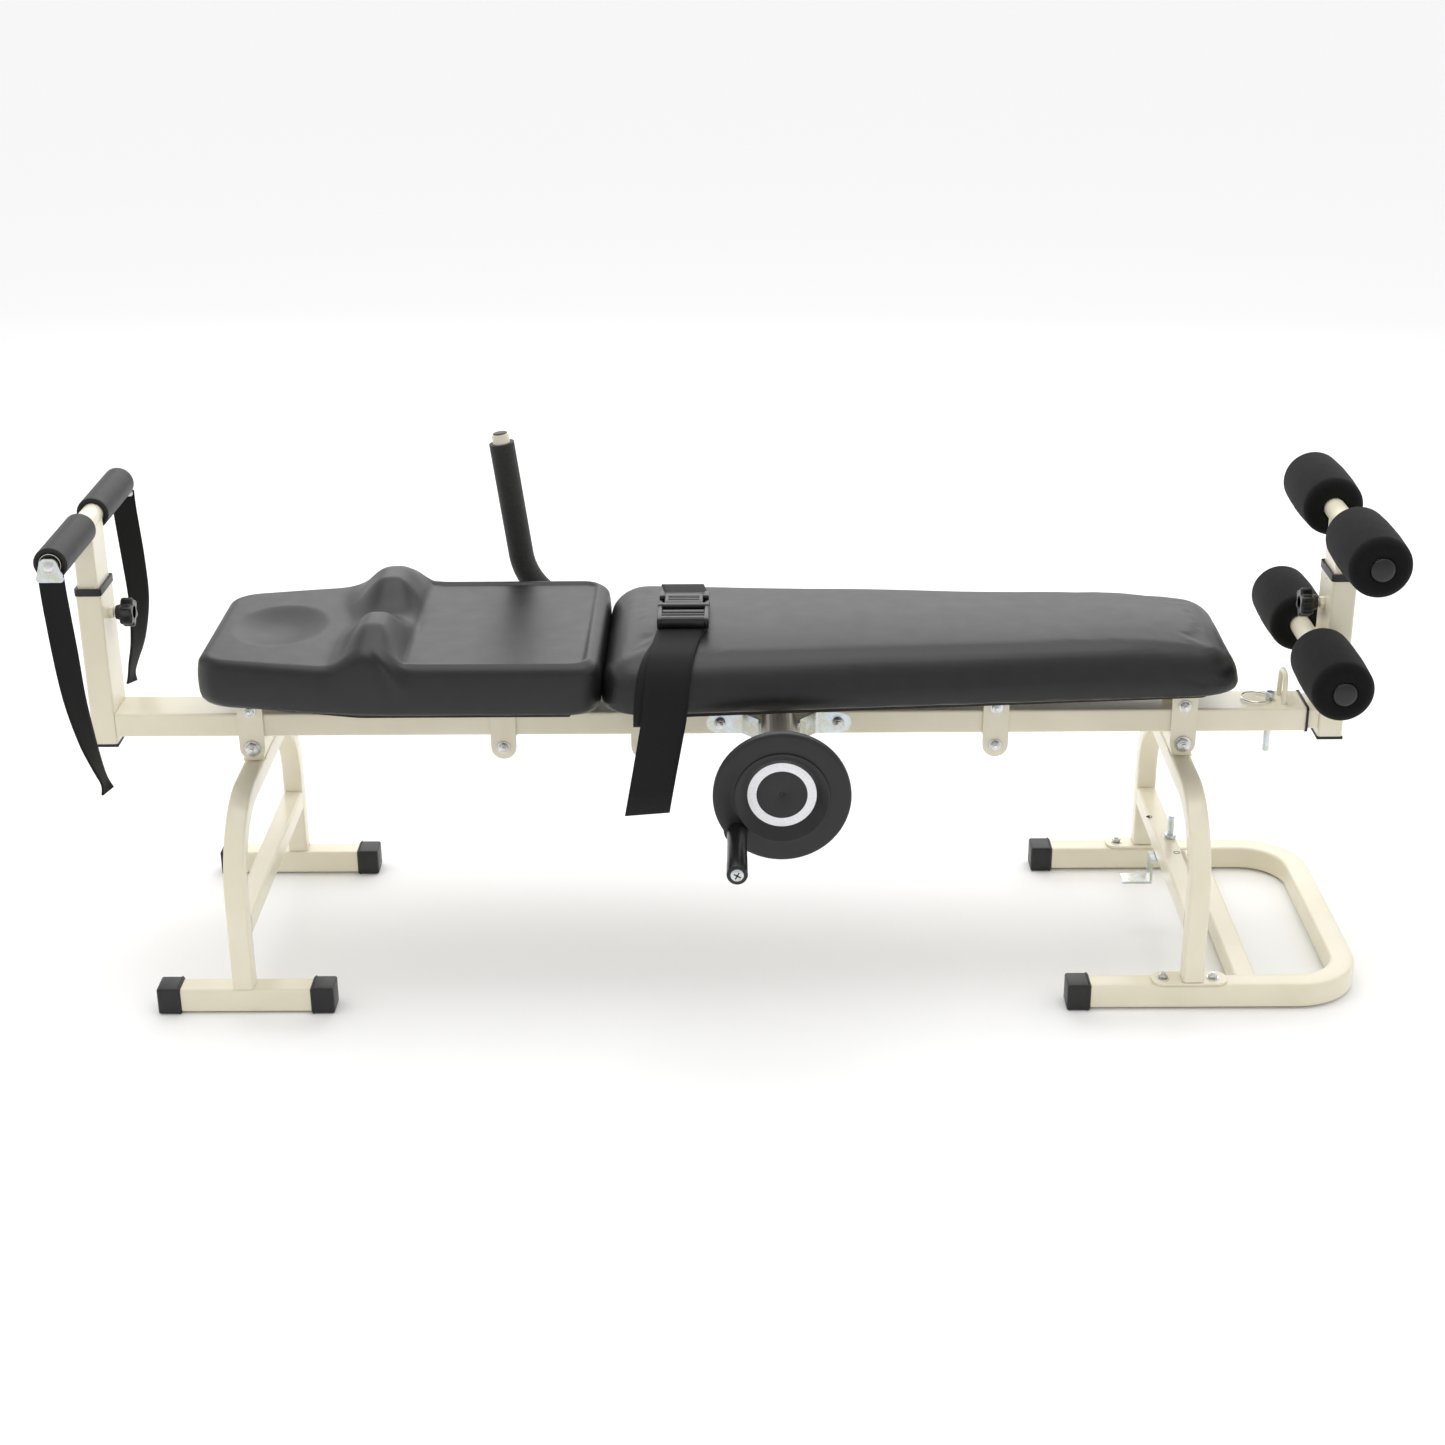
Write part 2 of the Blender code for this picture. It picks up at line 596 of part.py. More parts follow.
def make_fold_stop():
    """The zinc stud through the foot leg's brace, and the bent plate that swivels under it."""
    under = BRACE_Z - LEG_TUBE / 2 - TOUCH
    top = BRACE_Z + LEG_TUBE / 2 + TOUCH
    nut = BOLT_HEAD
    plate_low = under - STOP_PLATE
    stud = rod("fold_stop_stud", BOLT_RADIUS, (plate_low - TOUCH - nut, top + 0.030), "Z",
               (STUD_X, STUD_Y), ZINC, (STUD_X, STUD_Y, under), steps=16, edge=0.0015)
    for tag, low in (("nut_low", plate_low - TOUCH - nut + 0.001), ("nut_high", top)):
        join(stud, rod("stud_" + tag, BOLT_HEAD_RADIUS, (low, low + nut - 0.001), "Z",
                       (STUD_X, STUD_Y), steps=6))
    bend_x = FOOT_PIVOT_X - LEG_TUBE / 2 - 0.007
    tip_x = bend_x - STOP_REACH
    low_z = plate_low - STOP_DROP
    outline = [(STUD_X + 0.012, under), (bend_x, under), (bend_x, low_z + STOP_PLATE),
               (tip_x, low_z + STOP_PLATE), (tip_x, low_z), (bend_x + STOP_PLATE, low_z),
               (bend_x + STOP_PLATE, plate_low), (STUD_X + 0.012, plate_low)]
    stop = prism("fold_stop", [outline], (STUD_Y - STOP_WIDTH / 2, STUD_Y + STOP_WIDTH / 2), "Y", ZINC,
                 (STUD_X, STUD_Y, under))
    cut(stop, rod("fold_stop_hole", BOLT_RADIUS + PIN_PLAY, (plate_low - STOP_PLATE, under + STOP_PLATE),
                  "Z", (STUD_X, STUD_Y), steps=16))


# ---- posts, bars, grips and rollers -------------------------------------------------------------

def make_sleeve(name, x, span):
    loops = tube_loops(SLEEVE_DEPTH, BEAM_WIDTH, SLEEVE_WALL)
    return prism(name, [shifted(loop, x, 0) for loop in loops], span, "Z", BEIGE, (x, 0, span[0]))


def make_post(name, x, foot, bar_z, bar_half):
    """A rectangular post with a round bar welded across its top."""
    loops = tube_loops(POST_DEPTH, POST_WIDTH, POST_WALL)
    post = prism(name, [shifted(loop, x, 0) for loop in loops], (foot, bar_z - 0.004), "Z", BEIGE,
                 (x, 0, bar_z))
    join(post, rod(name + "_bar", BAR_RADIUS, (-bar_half, bar_half), "Y", (x, bar_z), steps=32))
    cut(post, rod(name + "_bar_bore", BAR_RADIUS - BAR_WALL, (-bar_half - 0.01, bar_half + 0.01), "Y",
                  (x, bar_z), steps=32))
    return post


def make_knob(name, x, outward, z):
    """A star knob and its stud, screwed through a sleeve's wall. outward is +1 or -1 along X."""
    face = x + outward * SLEEVE_DEPTH / 2
    tip = x + outward * (POST_DEPTH / 2 + TOUCH)
    star = []
    lobes = 6
    for k in range(8 * lobes):
        angle = 2 * math.pi * k / (8 * lobes)
        star.append((KNOB_RADIUS * (0.86 + 0.14 * math.cos(lobes * angle)) * math.cos(angle),
                     z + KNOB_RADIUS * (0.86 + 0.14 * math.cos(lobes * angle)) * math.sin(angle)))
    inner = face + outward * 0.0145
    outer = inner + outward * KNOB_THICKNESS
    knob = prism(name, [star], tuple(sorted((inner, outer))), "X", BLACK, (face, 0, z))
    join(knob, rod(name + "_hub", 0.0095, tuple(sorted((face + outward * 0.0085, inner + outward * 0.002))),
                   "X", (0, z), steps=20))
    join(knob, rod(name + "_stud", KNOB_STUD_RADIUS, tuple(sorted((tip, inner))), "X", (0, z), steps=16))


def stud_hole(sleeve, x, outward, z):
    span = tuple(sorted((x + outward * POST_DEPTH / 2, x + outward * SLEEVE_DEPTH)))
    cut(sleeve, rod(sleeve.name + "_stud_hole", KNOB_STUD_RADIUS + PIN_PLAY, span, "X", (0, z), steps=16))


def make_ring_body(name, inner, outer, span, x, z, finish, edge=0.0):
    """A thick-walled sleeve along Y, such as a foam grip or a bush."""
    low, high = span
    profile = [(inner, low), (outer - edge, low), (outer, low + edge), (outer, high - edge),
               (outer - edge, high), (inner, high), (inner, low)]
    if edge:
        turn = math.pi / 2
        low_arc = [(outer - edge + edge * math.sin(turn * k / 3), low + edge - edge * math.cos(turn * k / 3))
                   for k in range(4)]
        high_arc = [(r, low + high - h) for r, h in reversed(low_arc)]
        profile = [(inner, low)] + low_arc + high_arc + [(inner, high), (inner, low)]
    return turned(name, profile, "Y", (x, z), finish, (x, (low + high) / 2, z), steps=28)


def make_head_end():
    sleeve = make_sleeve("head_sleeve", HEAD_SLEEVE_X, HEAD_SLEEVE_Z)
    stud_hole(sleeve, HEAD_SLEEVE_X, 1, HEAD_KNOB_Z)
    inside = POST_WIDTH / 2 + 0.001
    bar_half = inside + GRIP_LENGTH + 2 * TOUCH
    make_post("head_post", HEAD_SLEEVE_X, HEAD_POST_FOOT, HEAD_BAR_Z, bar_half)
    make_knob("head_knob", HEAD_SLEEVE_X, 1, HEAD_KNOB_Z)
    for side, sign in (("near", -1), ("far", 1)):
        span = tuple(sorted((sign * inside, sign * (inside + GRIP_LENGTH))))
        make_ring_body(f"head_grip_{side}", BAR_RADIUS + TOUCH, GRIP_RADIUS, span, HEAD_SLEEVE_X,
                       HEAD_BAR_Z, FOAM, 0.002)
        face = sign * (bar_half + TOUCH)
        back = face + sign * STRAP_PLATE
        base = HEAD_BAR_Z - 0.0175
        corners = [(HEAD_SLEEVE_X, HEAD_BAR_Z + 0.019), (HEAD_SLEEVE_X - 0.026, base),
                   (HEAD_SLEEVE_X + 0.026, base)]
        plate = prism(f"strap_plate_{side}", [filleted(corners, (0.009, 0.004, 0.004), 4)],
                      tuple(sorted((face, back))), "Y", ZINC, (HEAD_SLEEVE_X, face, HEAD_BAR_Z))
        join(plate, rod(f"strap_bolt_{side}", 0.0065, tuple(sorted((back - sign * 0.0005, back + sign * 0.004))),
                        "Y", (HEAD_SLEEVE_X, HEAD_BAR_Z), steps=6))
        top = base - TOUCH
        lean = 0.030
        middle_x = HEAD_SLEEVE_X + 0.004
        strap = [(middle_x - STRAP_WIDTH / 2, top), (middle_x + STRAP_WIDTH / 2, top),
                 (middle_x + lean + 0.004, top - STRAP_LENGTH), (middle_x + lean - 0.004, top - STRAP_LENGTH)]
        prism(f"hand_strap_{side}", [strap], tuple(sorted((face, face + sign * STRAP_THICKNESS))), "Y",
              WEBBING, (HEAD_SLEEVE_X, face, HEAD_BAR_Z))


def make_ankle_end():
    loops = tube_loops(BEAM_WIDTH - 2 * BEAM_WALL - 2 * TUBE_CLEARANCE,
                       BEAM_HEIGHT - 2 * BEAM_WALL - 2 * TUBE_CLEARANCE, TUBE_WALL, 0.002)
    sleeve_face = ANKLE_SLEEVE_X - SLEEVE_DEPTH / 2
    tube_end = sleeve_face - TOUCH
    tube = prism("ankle_tube", [shifted(loop, 0, BEAM_Z) for loop in loops],
                 (tube_end - TUBE_LENGTH, tube_end), "X", BEIGE, (tube_end, 0, BEAM_Z))
    for k in range(PIN_HOLES):
        cut(tube, rod(f"ankle_tube_hole_{k}", PIN_RADIUS + PIN_PLAY,
                      (BEAM_BOTTOM, BEAM_TOP), "Z", (PIN_X - k * PIN_HOLE_PITCH, 0), steps=12))

    inside = POST_WIDTH / 2 + 0.0205
    bar_half = inside + ROLLER_LENGTH - 0.001
    sleeve = make_sleeve("ankle_sleeve", ANKLE_SLEEVE_X, ANKLE_SLEEVE_Z)
    bar_x = sleeve_face - BAR_RADIUS - 0.0003
    join(sleeve, rod("lower_bar", BAR_RADIUS, (-bar_half, bar_half), "Y", (bar_x, LOWER_BAR_Z), steps=32))
    join(sleeve, box("lower_bar_weld", (bar_x + BAR_RADIUS / 2, -BEAM_WIDTH / 2 + 0.006, LOWER_BAR_Z - 0.007),
                     (sleeve_face + SLEEVE_WALL / 2, BEAM_WIDTH / 2 - 0.006, LOWER_BAR_Z + 0.007)))
    cut(sleeve, rod("lower_bar_bore", BAR_RADIUS - BAR_WALL, (-bar_half - 0.01, bar_half + 0.01), "Y",
                    (bar_x, LOWER_BAR_Z), steps=32))
    stud_hole(sleeve, ANKLE_SLEEVE_X, -1, ANKLE_KNOB_Z)
    make_post("ankle_post", ANKLE_SLEEVE_X, ANKLE_POST_FOOT, UPPER_BAR_Z, bar_half)
    make_knob("ankle_knob", ANKLE_SLEEVE_X, -1, ANKLE_KNOB_Z)
    for level, x, z in (("upper", ANKLE_SLEEVE_X, UPPER_BAR_Z), ("lower", bar_x, LOWER_BAR_Z)):
        for side, sign in (("near", -1), ("far", 1)):
            span = tuple(sorted((sign * inside, sign * (inside + ROLLER_LENGTH))))
            make_ring_body(f"roller_{level}_{side}", BAR_RADIUS + ROLLER_PLAY, ROLLER_RADIUS, span, x, z,
                           FOAM, ROLLER_EDGE)


def make_lock_pin():
    ring_z = BEAM_TOP + 0.0032
    head_low = BEAM_TOP + TOUCH
    pin = rod("lock_pin", PIN_RADIUS, (PIN_TIP_Z, head_low + 0.002), "Z", (PIN_X, 0), ZINC,
              (PIN_X, 0, BEAM_TOP), steps=20, edge=0.001)
    join(pin, rod("lock_pin_head", PIN_HEAD_RADIUS, (head_low, head_low + PIN_HEAD_HEIGHT), "Z",
                  (PIN_X, 0), steps=20, edge=0.001))
    cut(pin, rod("lock_pin_eye", RING_WIRE + 0.0012, (-PIN_HEAD_RADIUS * 2, PIN_HEAD_RADIUS * 2), "Y",
                 (PIN_X, ring_z), steps=12))
    build = bmesh.new()
    turn = 2 * math.pi / 8
    verts = [build.verts.new((RING_RADIUS + RING_WIRE * math.cos(turn * k), 0, RING_WIRE * math.sin(turn * k)))
             for k in range(8)]
    edges = [build.edges.new((verts[k], verts[(k + 1) % 8])) for k in range(8)]
    bmesh.ops.spin(build, geom=verts + edges, axis=(0, 0, 1), cent=(0, 0, 0), angle=2 * math.pi,
                   steps=36, use_merge=True)
    bmesh.ops.translate(build, vec=(PIN_X - RING_RADIUS, 0, ring_z), verts=build.verts)
    mesh_object("lock_ring", build, STEEL, (PIN_X, 0, ring_z))


# ---- pads, boards and belt ----------------------------------------------------------------------

def head_pad_outline(inset):
    x0, x1 = HEAD_PAD_X[0] + inset, HEAD_PAD_X[1] - inset
    a, b = HEAD_PAD_HALF[0] - inset, HEAD_PAD_HALF[1] - inset
    shoulder = HEAD_PAD_X[0] + HEAD_PAD_SHOULDER
    corners = [(x0, -a), (shoulder, -b), (x1, -b), (x1, b), (shoulder, b), (x0, a)]
    corner = HEAD_PAD_CORNER - inset
    return filleted(corners, (corner, 0.10, corner, corner, 0.10, corner))


def body_pad_outline(inset):
    x0, x1 = BODY_PAD_X[0] + inset, BODY_PAD_X[1] - inset
    a, b = BODY_PAD_HALF[0] - inset, BODY_PAD_HALF[1] - inset
    corner = BODY_PAD_CORNER - inset
    return filleted([(x0, -a), (x1, -b), (x1, b), (x0, a)], (corner,) * 4)


def soft_block(name, outline):
    """A plain padded block, bevelled at its top and bottom edges."""
    pad = prism(name, [outline], (PAD_Z, PAD_Z + PAD_THICKNESS), "Z", LEATHER, (0, 0, PAD_Z))
    edge = pad.modifiers.new("edge", "BEVEL")
    edge.width = PAD_EDGE
    edge.segments = 2
    edge.limit_method = "ANGLE"
    edge.angle_limit = math.radians(60)
    return pad


def make_pads():
    board = (BOARD_Z, BOARD_Z + BOARD_THICKNESS)
    prism("head_pad_board", [head_pad_outline(BOARD_INSET)], board, "Z", PLYWOOD)
    prism("body_pad_board", [body_pad_outline(BOARD_INSET)], board, "Z", PLYWOOD)
    head_pad = soft_block("head_pad", head_pad_outline(0.0))
    base = PAD_Z + PAD_THICKNESS - 0.02
    hump = filleted([(HUMP_X - HUMP_RADIUS * 1.5, base), (HUMP_X + HUMP_RADIUS * 1.5, base),
                     (HUMP_X + HUMP_RADIUS * 0.45, HUMP_TOP), (HUMP_X - HUMP_RADIUS * 0.45, HUMP_TOP)],
                    (0, 0, 0.016, 0.016), 4)
    join(head_pad, prism("neck_hump", [hump], (-HUMP_HALF, HUMP_HALF), "Y"))
    soft_block("body_pad", body_pad_outline(0.0))


def pad_half_width(x):
    """Half the body pad's width at x."""
    along = (x - BODY_PAD_X[0]) / (BODY_PAD_X[1] - BODY_PAD_X[0])
    return BODY_PAD_HALF[0] + along * (BODY_PAD_HALF[1] - BODY_PAD_HALF[0])


def make_belt():
    """The webbing that goes round pad and board, its hanging end, and the buckle on top."""
    low, high = BELT_X - BELT_WIDTH / 2, BELT_X + BELT_WIDTH / 2
    half = pad_half_width(low) + 0.003
    top = PAD_Z + PAD_THICKNESS + 0.004
    bottom = BOARD_Z - 2 * TOUCH
    gap = BELT_THICKNESS
    outer = rounded(2 * (half + gap), top - bottom + 2 * gap, 0.015)
    inner = rounded(2 * half, top - bottom, 0.012)
    middle = (top + bottom) / 2
    belt = prism("waist_belt", [shifted(outer, 0, middle), shifted(inner, 0, middle)], (low, high), "X",
                 WEBBING, (BELT_X, 0, middle))
    tail_x = BELT_X - 0.020
    tail = [(tail_x - 0.010, bottom - BELT_TAIL_DROP + 0.02), (tail_x + BELT_WIDTH - 0.012, bottom - BELT_TAIL_DROP + 0.02),
            (high - 2 * TOUCH, middle), (low + 2 * TOUCH, middle)]
    join(belt, prism("belt_tail", [tail], (-half - gap - 0.0015, -half - gap + 0.0015), "Y"))
    over = top + gap + TOUCH
    box("belt_buckle", (BELT_X - BUCKLE[0] / 2, BUCKLE_Y - BUCKLE[1] / 2, over),
        (BELT_X + BUCKLE[0] / 2, BUCKLE_Y + BUCKLE[1] / 2, over + BUCKLE[2]), BLACK, edge=0.002)


# ---- traction drive -----------------------------------------------------------------------------

def tooth_points(pitch_at, root, tip, thick):
    """Half the outline of one straight-sided tooth, as (offset, height) from its middle."""
    return [(-thick * 0.78, root), (-thick * 0.30, tip), (thick * 0.30, tip), (thick * 0.78, root)]


def pinion_outline():
    pitch = math.pi * MODULE
    thick = TOOTH_SHARE * pitch
    root = PINION_RADIUS - 1.25 * MODULE
    tip = PINION_RADIUS + MODULE
    points = []
    for k in range(PINION_TEETH):
        at = math.pi / 2 - 2 * math.pi * k / PINION_TEETH
        for offset, height in tooth_points(PINION_RADIUS, root, tip, thick):
            angle = at - offset / height
            points.append((CRANK_X + height * math.cos(angle), CRANK_Z + height * math.sin(angle)))
    return points


def rack_outline():
    """A rack over the pinion, teeth down, with a gap between teeth right over the axis."""
    pitch = math.pi * MODULE
    thick = TOOTH_SHARE * pitch
    line = CRANK_Z + PINION_RADIUS
    root, tip = line + 1.25 * MODULE, line - MODULE
    back = BEAM_TOP - BEAM_WALL - TOUCH
    points = [(RACK_X[1], back), (RACK_X[0], back), (RACK_X[0], root)]
    first = math.ceil((RACK_X[0] + pitch - CRANK_X) / pitch)
    last = math.floor((LUG_X[0] - pitch - CRANK_X) / pitch)
    for k in range(first, last + 1):
        middle = CRANK_X + (k + 0.5) * pitch
        points += [(middle + offset, height) for offset, height in tooth_points(line, root, tip, thick)]
    points.append((RACK_X[1], root))
    return points


def make_drive():
    rack = prism("drive_rack", [rack_outline()], (-RACK_WIDTH / 2, RACK_WIDTH / 2), "Y", STEEL,
                 (CRANK_X, 0, CRANK_Z + PINION_RADIUS))
    join(rack, box("rack_lug", (LUG_X[0], -RACK_WIDTH / 2 + TOUCH, BEAM_TOP - BEAM_WALL - 0.002),
                   (LUG_X[1], RACK_WIDTH / 2 - TOUCH, BOARD_Z - TOUCH)))

    axis_at = (CRANK_X, CRANK_Z)
    hub_y = HOUSING_END_Y - 2 * TOUCH
    shaft = rod("pinion_shaft", SHAFT_RADIUS, (DISH_FLOOR_Y + DISH_FLOOR_WALL + TOUCH, BEAM_WIDTH / 2 - 0.001), "Y", axis_at,
                STEEL, (CRANK_X, 0, CRANK_Z), steps=20)
    join(shaft, prism("pinion", [pinion_outline()], (-GEAR_WIDTH / 2, GEAR_WIDTH / 2), "Y"))

    start = -BEAM_WIDTH / 2 - TOUCH
    bore = HOUSING_RADIUS - HOUSING_WALL
    profile = [(bore, HOUSING_END_Y), (HOUSING_RADIUS, HOUSING_END_Y), (HOUSING_RADIUS, start),
               (bore, start), (bore, HOUSING_END_Y)]
    turned("crank_housing", profile, "Y", axis_at, BEIGE, (CRANK_X, start, CRANK_Z), steps=32)
    seat = SHAFT_RADIUS + TOUCH
    wheel = [(seat, hub_y), (0.020, hub_y), (0.020, WHEEL_BACK_Y - 0.001), (WHEEL_RADIUS - 0.004, WHEEL_BACK_Y),
             (WHEEL_RADIUS, WHEEL_BACK_Y - 0.003), (WHEEL_RADIUS, WHEEL_FACE_Y + 0.003),
             (WHEEL_RADIUS - 0.003, WHEEL_FACE_Y), (DISH_RADIUS, WHEEL_FACE_Y),
             (DISH_RADIUS - DISH_LIP, WHEEL_FACE_Y - DISH_LIP), (DISH_RADIUS - 2 * DISH_LIP, WHEEL_FACE_Y - DISH_LIP),
             (DISH_FLOOR_RADIUS, DISH_FLOOR_Y), (0.0, DISH_FLOOR_Y), (0.0, DISH_FLOOR_Y + DISH_FLOOR_WALL),
             (seat, DISH_FLOOR_Y + DISH_FLOOR_WALL), (seat, hub_y)]
    turned("hand_wheel", wheel, "Y", axis_at, BLACK, (CRANK_X, WHEEL_FACE_Y, CRANK_Z), steps=48)

    grip_at = (CRANK_X + CRANK_GRIP_OFFSET[0], CRANK_Z + CRANK_GRIP_OFFSET[1])
    grip_end = WHEEL_FACE_Y - 2 * TOUCH - CRANK_GRIP_LENGTH
    bolt = BOLT_RADIUS
    make_ring_body("crank_grip", bolt + PIN_PLAY, CRANK_GRIP_RADIUS, (grip_end, grip_end + CRANK_GRIP_LENGTH),
                   grip_at[0], grip_at[1], BLACK, 0.0015)
    head = grip_end - TOUCH
    screw = rod("crank_grip_screw", bolt, (head - 0.001, WHEEL_FACE_Y - TOUCH), "Y", grip_at, ZINC,
                (grip_at[0], grip_end, grip_at[1]), steps=16)
    join(screw, rod("crank_grip_screw_head", GRIP_SCREW_RADIUS, (head - 0.0028, head), "Y", grip_at,
                    steps=24, edge=0.0008))


def make_housing_brackets():
    """Two bent zinc plates that hold the crank housing to the beam's side."""
    face = -BEAM_WIDTH / 2 - TOUCH
    plate = BRACKET_PLATE
    span = (CRANK_Z - BRACKET_HEIGHT / 2, CRANK_Z + BRACKET_HEIGHT / 2)
    touch_x = HOUSING_RADIUS + TOUCH
    for side, sign in (("head", -1), ("foot", 1)):
        near = face - BRACKET_REACH
        bend = touch_x + 0.0235
        end = 0.0885
        line = [(end, face), (bend - 0.0012, face), (touch_x, near + 0.0012), (touch_x, near - 0.010),
                (touch_x + plate, near - 0.010), (touch_x + plate, near), (bend, face - plate),
                (end, face - plate)]
        outline = [(CRANK_X + sign * u, v) for u, v in line]
        prism(f"housing_bracket_{side}", [outline], span, "Z", ZINC, (CRANK_X, face, CRANK_Z))


# ---- arm bar ------------------------------------------------------------------------------------

def make_arm_bar():
    face = BEAM_WIDTH / 2 + TOUCH
    plate_half = 0.022
    bracket = box("arm_bracket", (ARM_X - plate_half, face, BEAM_BOTTOM + 0.001),
                  (ARM_X + plate_half, face + ARM_PLATE, ARM_Z + 0.008), BEIGE, edge=0.001)
    boss_end = face + ARM_PLATE + 0.026
    join(bracket, rod("arm_boss", ARM_BOSS_RADIUS, (face + 0.001, boss_end), "Y", (ARM_X, ARM_Z), steps=32))
    cut(bracket, rod("arm_boss_bore", ARM_RADIUS + PIN_PLAY, (face + ARM_PLATE, boss_end + 0.01), "Y",
                     (ARM_X, ARM_Z), steps=32))
    start = face + ARM_PLATE + TOUCH
    corners = [(ARM_X, start, ARM_Z), (ARM_X, ARM_Y, ARM_Z), (ARM_BEND[0], ARM_Y, ARM_BEND[1]),
               (ARM_TOP[0], ARM_Y, ARM_TOP[1])]
    path = arc_path(corners, (0.030, 0.080), steps=8)
    swept("arm_bar", path, pipe_loops(ARM_RADIUS, ARM_WALL), BEIGE, (ARM_X, start, ARM_Z))
    lead = (path[-1] - path[-2]).normalized()
    foam_path = path[9:-1] + [path[-1] - lead * 0.011]
    wall = ARM_FOAM_RADIUS - ARM_RADIUS - TOUCH
    swept("arm_foam", foam_path, pipe_loops(ARM_FOAM_RADIUS, wall), FOAM, (ARM_X, start, ARM_Z))


make_beam()
make_saddle("head_leg_saddle", HEAD_PIVOT_X, True)
make_saddle("head_pad_saddle", HEAD_PAD_SADDLE_X, False)
make_saddle("foot_leg_saddle", FOOT_PIVOT_X, True)
for carriage_side, carriage_x in zip(("head", "foot"), CARRIAGE_SADDLES_X):
    make_saddle(f"carriage_saddle_{carriage_side}", carriage_x, True, SLIDE)
make_pivot_bolt("head_pivot_bolt", HEAD_PIVOT_X)
make_pivot_bolt("foot_pivot_bolt", FOOT_PIVOT_X)
make_head_leg()
make_foot_leg()
make_fold_stop()
make_head_end()
make_ankle_end()
make_lock_pin()
make_pads()
make_belt()
make_drive()
make_housing_brackets()
make_arm_bar()


def centre_on_floor():
    """Moves the bed so that the origin is at the bottom centre of its box."""
    bpy.context.view_layer.update()
    graph = bpy.context.evaluated_depsgraph_get()
    corners = []
    for piece in bed_collection.objects:
        if piece.type == "EMPTY":
            continue
        solid = piece.evaluated_get(graph)
        corners += [solid.matrix_world @ Vector(corner) for corner in solid.bound_box]
    low = [min(corner[k] for corner in corners) for k in range(3)]
    high = [max(corner[k] for corner in corners) for k in range(3)]
    bed.location = (-(low[0] + high[0]) / 2, -(low[1] + high[1]) / 2, -low[2])
    bpy.context.view_layer.update()


centre_on_floor()
print("nodes", sum(piece.type == "MESH" for piece in bed_collection.objects), "bed at", tuple(bed.location))
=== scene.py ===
import json
import math

import bmesh
import bpy
from mathutils import Matrix, Vector, noise


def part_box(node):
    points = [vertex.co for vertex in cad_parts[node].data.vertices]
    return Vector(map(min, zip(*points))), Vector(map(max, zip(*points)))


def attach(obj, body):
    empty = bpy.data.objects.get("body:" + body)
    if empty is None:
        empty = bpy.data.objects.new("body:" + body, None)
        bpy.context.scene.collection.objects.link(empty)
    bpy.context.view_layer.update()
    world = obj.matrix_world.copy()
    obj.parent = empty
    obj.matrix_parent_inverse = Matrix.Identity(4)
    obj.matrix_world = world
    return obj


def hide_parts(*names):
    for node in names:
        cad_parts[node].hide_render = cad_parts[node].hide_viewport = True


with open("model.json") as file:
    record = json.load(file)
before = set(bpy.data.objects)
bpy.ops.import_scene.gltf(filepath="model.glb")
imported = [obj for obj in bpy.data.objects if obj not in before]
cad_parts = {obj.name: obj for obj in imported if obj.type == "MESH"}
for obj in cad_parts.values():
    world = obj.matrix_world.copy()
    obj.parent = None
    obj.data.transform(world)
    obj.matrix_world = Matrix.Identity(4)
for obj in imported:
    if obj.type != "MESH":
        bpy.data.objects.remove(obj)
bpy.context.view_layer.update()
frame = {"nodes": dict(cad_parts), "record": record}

print("frame loaded:", len(frame["nodes"]), "nodes")


def boxOf(name):
    low, high = (Vector(corner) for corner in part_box(name))
    return low, high, (low + high) / 2


# where the bed's own middle lies, so that every size below reads as a distance on the bed
sleeveLow, _, sleeveMid = boxOf("head_sleeve")
beamHigh, tubeMid = boxOf("main_beam")[1], boxOf("ankle_tube")[2]
midY = sleeveMid.y
midX = sleeveLow.x + 0.795        # the wheel's side of the bed is dimensioned from here
beamTop = tubeMid.z + 0.015


def onBed(x, y, z):
    return Vector((midX + x, midY + y, z))


def hexColour(code):
    values = [int(code[k:k + 2], 16) / 255 for k in (0, 2, 4)]
    return tuple(v / 12.92 if v < 0.04045 else ((v + 0.055) / 1.055) ** 2.4 for v in values) + (1.0,)


def addNode(tree, kind, settings=None, links=None):
    made = tree.nodes.new("ShaderNode" + kind)
    for key, value in (settings or {}).items():
        if isinstance(key, int) or key in made.inputs:
            made.inputs[key].default_value = value
        else:
            setattr(made, key, value)
    for key, source in (links or {}).items():
        tree.links.new(source, made.inputs[key])
    return made


def newMaterial(name, **shaderValues):
    material = bpy.data.materials.new(name)
    material.use_nodes = True
    tree = material.node_tree
    shader = tree.nodes["Principled BSDF"]
    for key, value in shaderValues.items():
        shader.inputs[key.replace("_", " ")].default_value = value
    place = addNode(tree, "TexCoord").outputs["Object"]
    return material, tree, shader, place


def twoTone(tree, source, low, high, first, last):
    ramp = addNode(tree, "ValToRGB", links={"Fac": source})
    ramp.color_ramp.elements[0].position, ramp.color_ramp.elements[1].position = first, last
    ramp.color_ramp.elements[0].color, ramp.color_ramp.elements[1].color = low, high
    return ramp.outputs["Color"]


def toRange(tree, source, low, high):
    return addNode(tree, "MapRange", {"To Min": low, "To Max": high}, {"Value": source}).outputs["Result"]


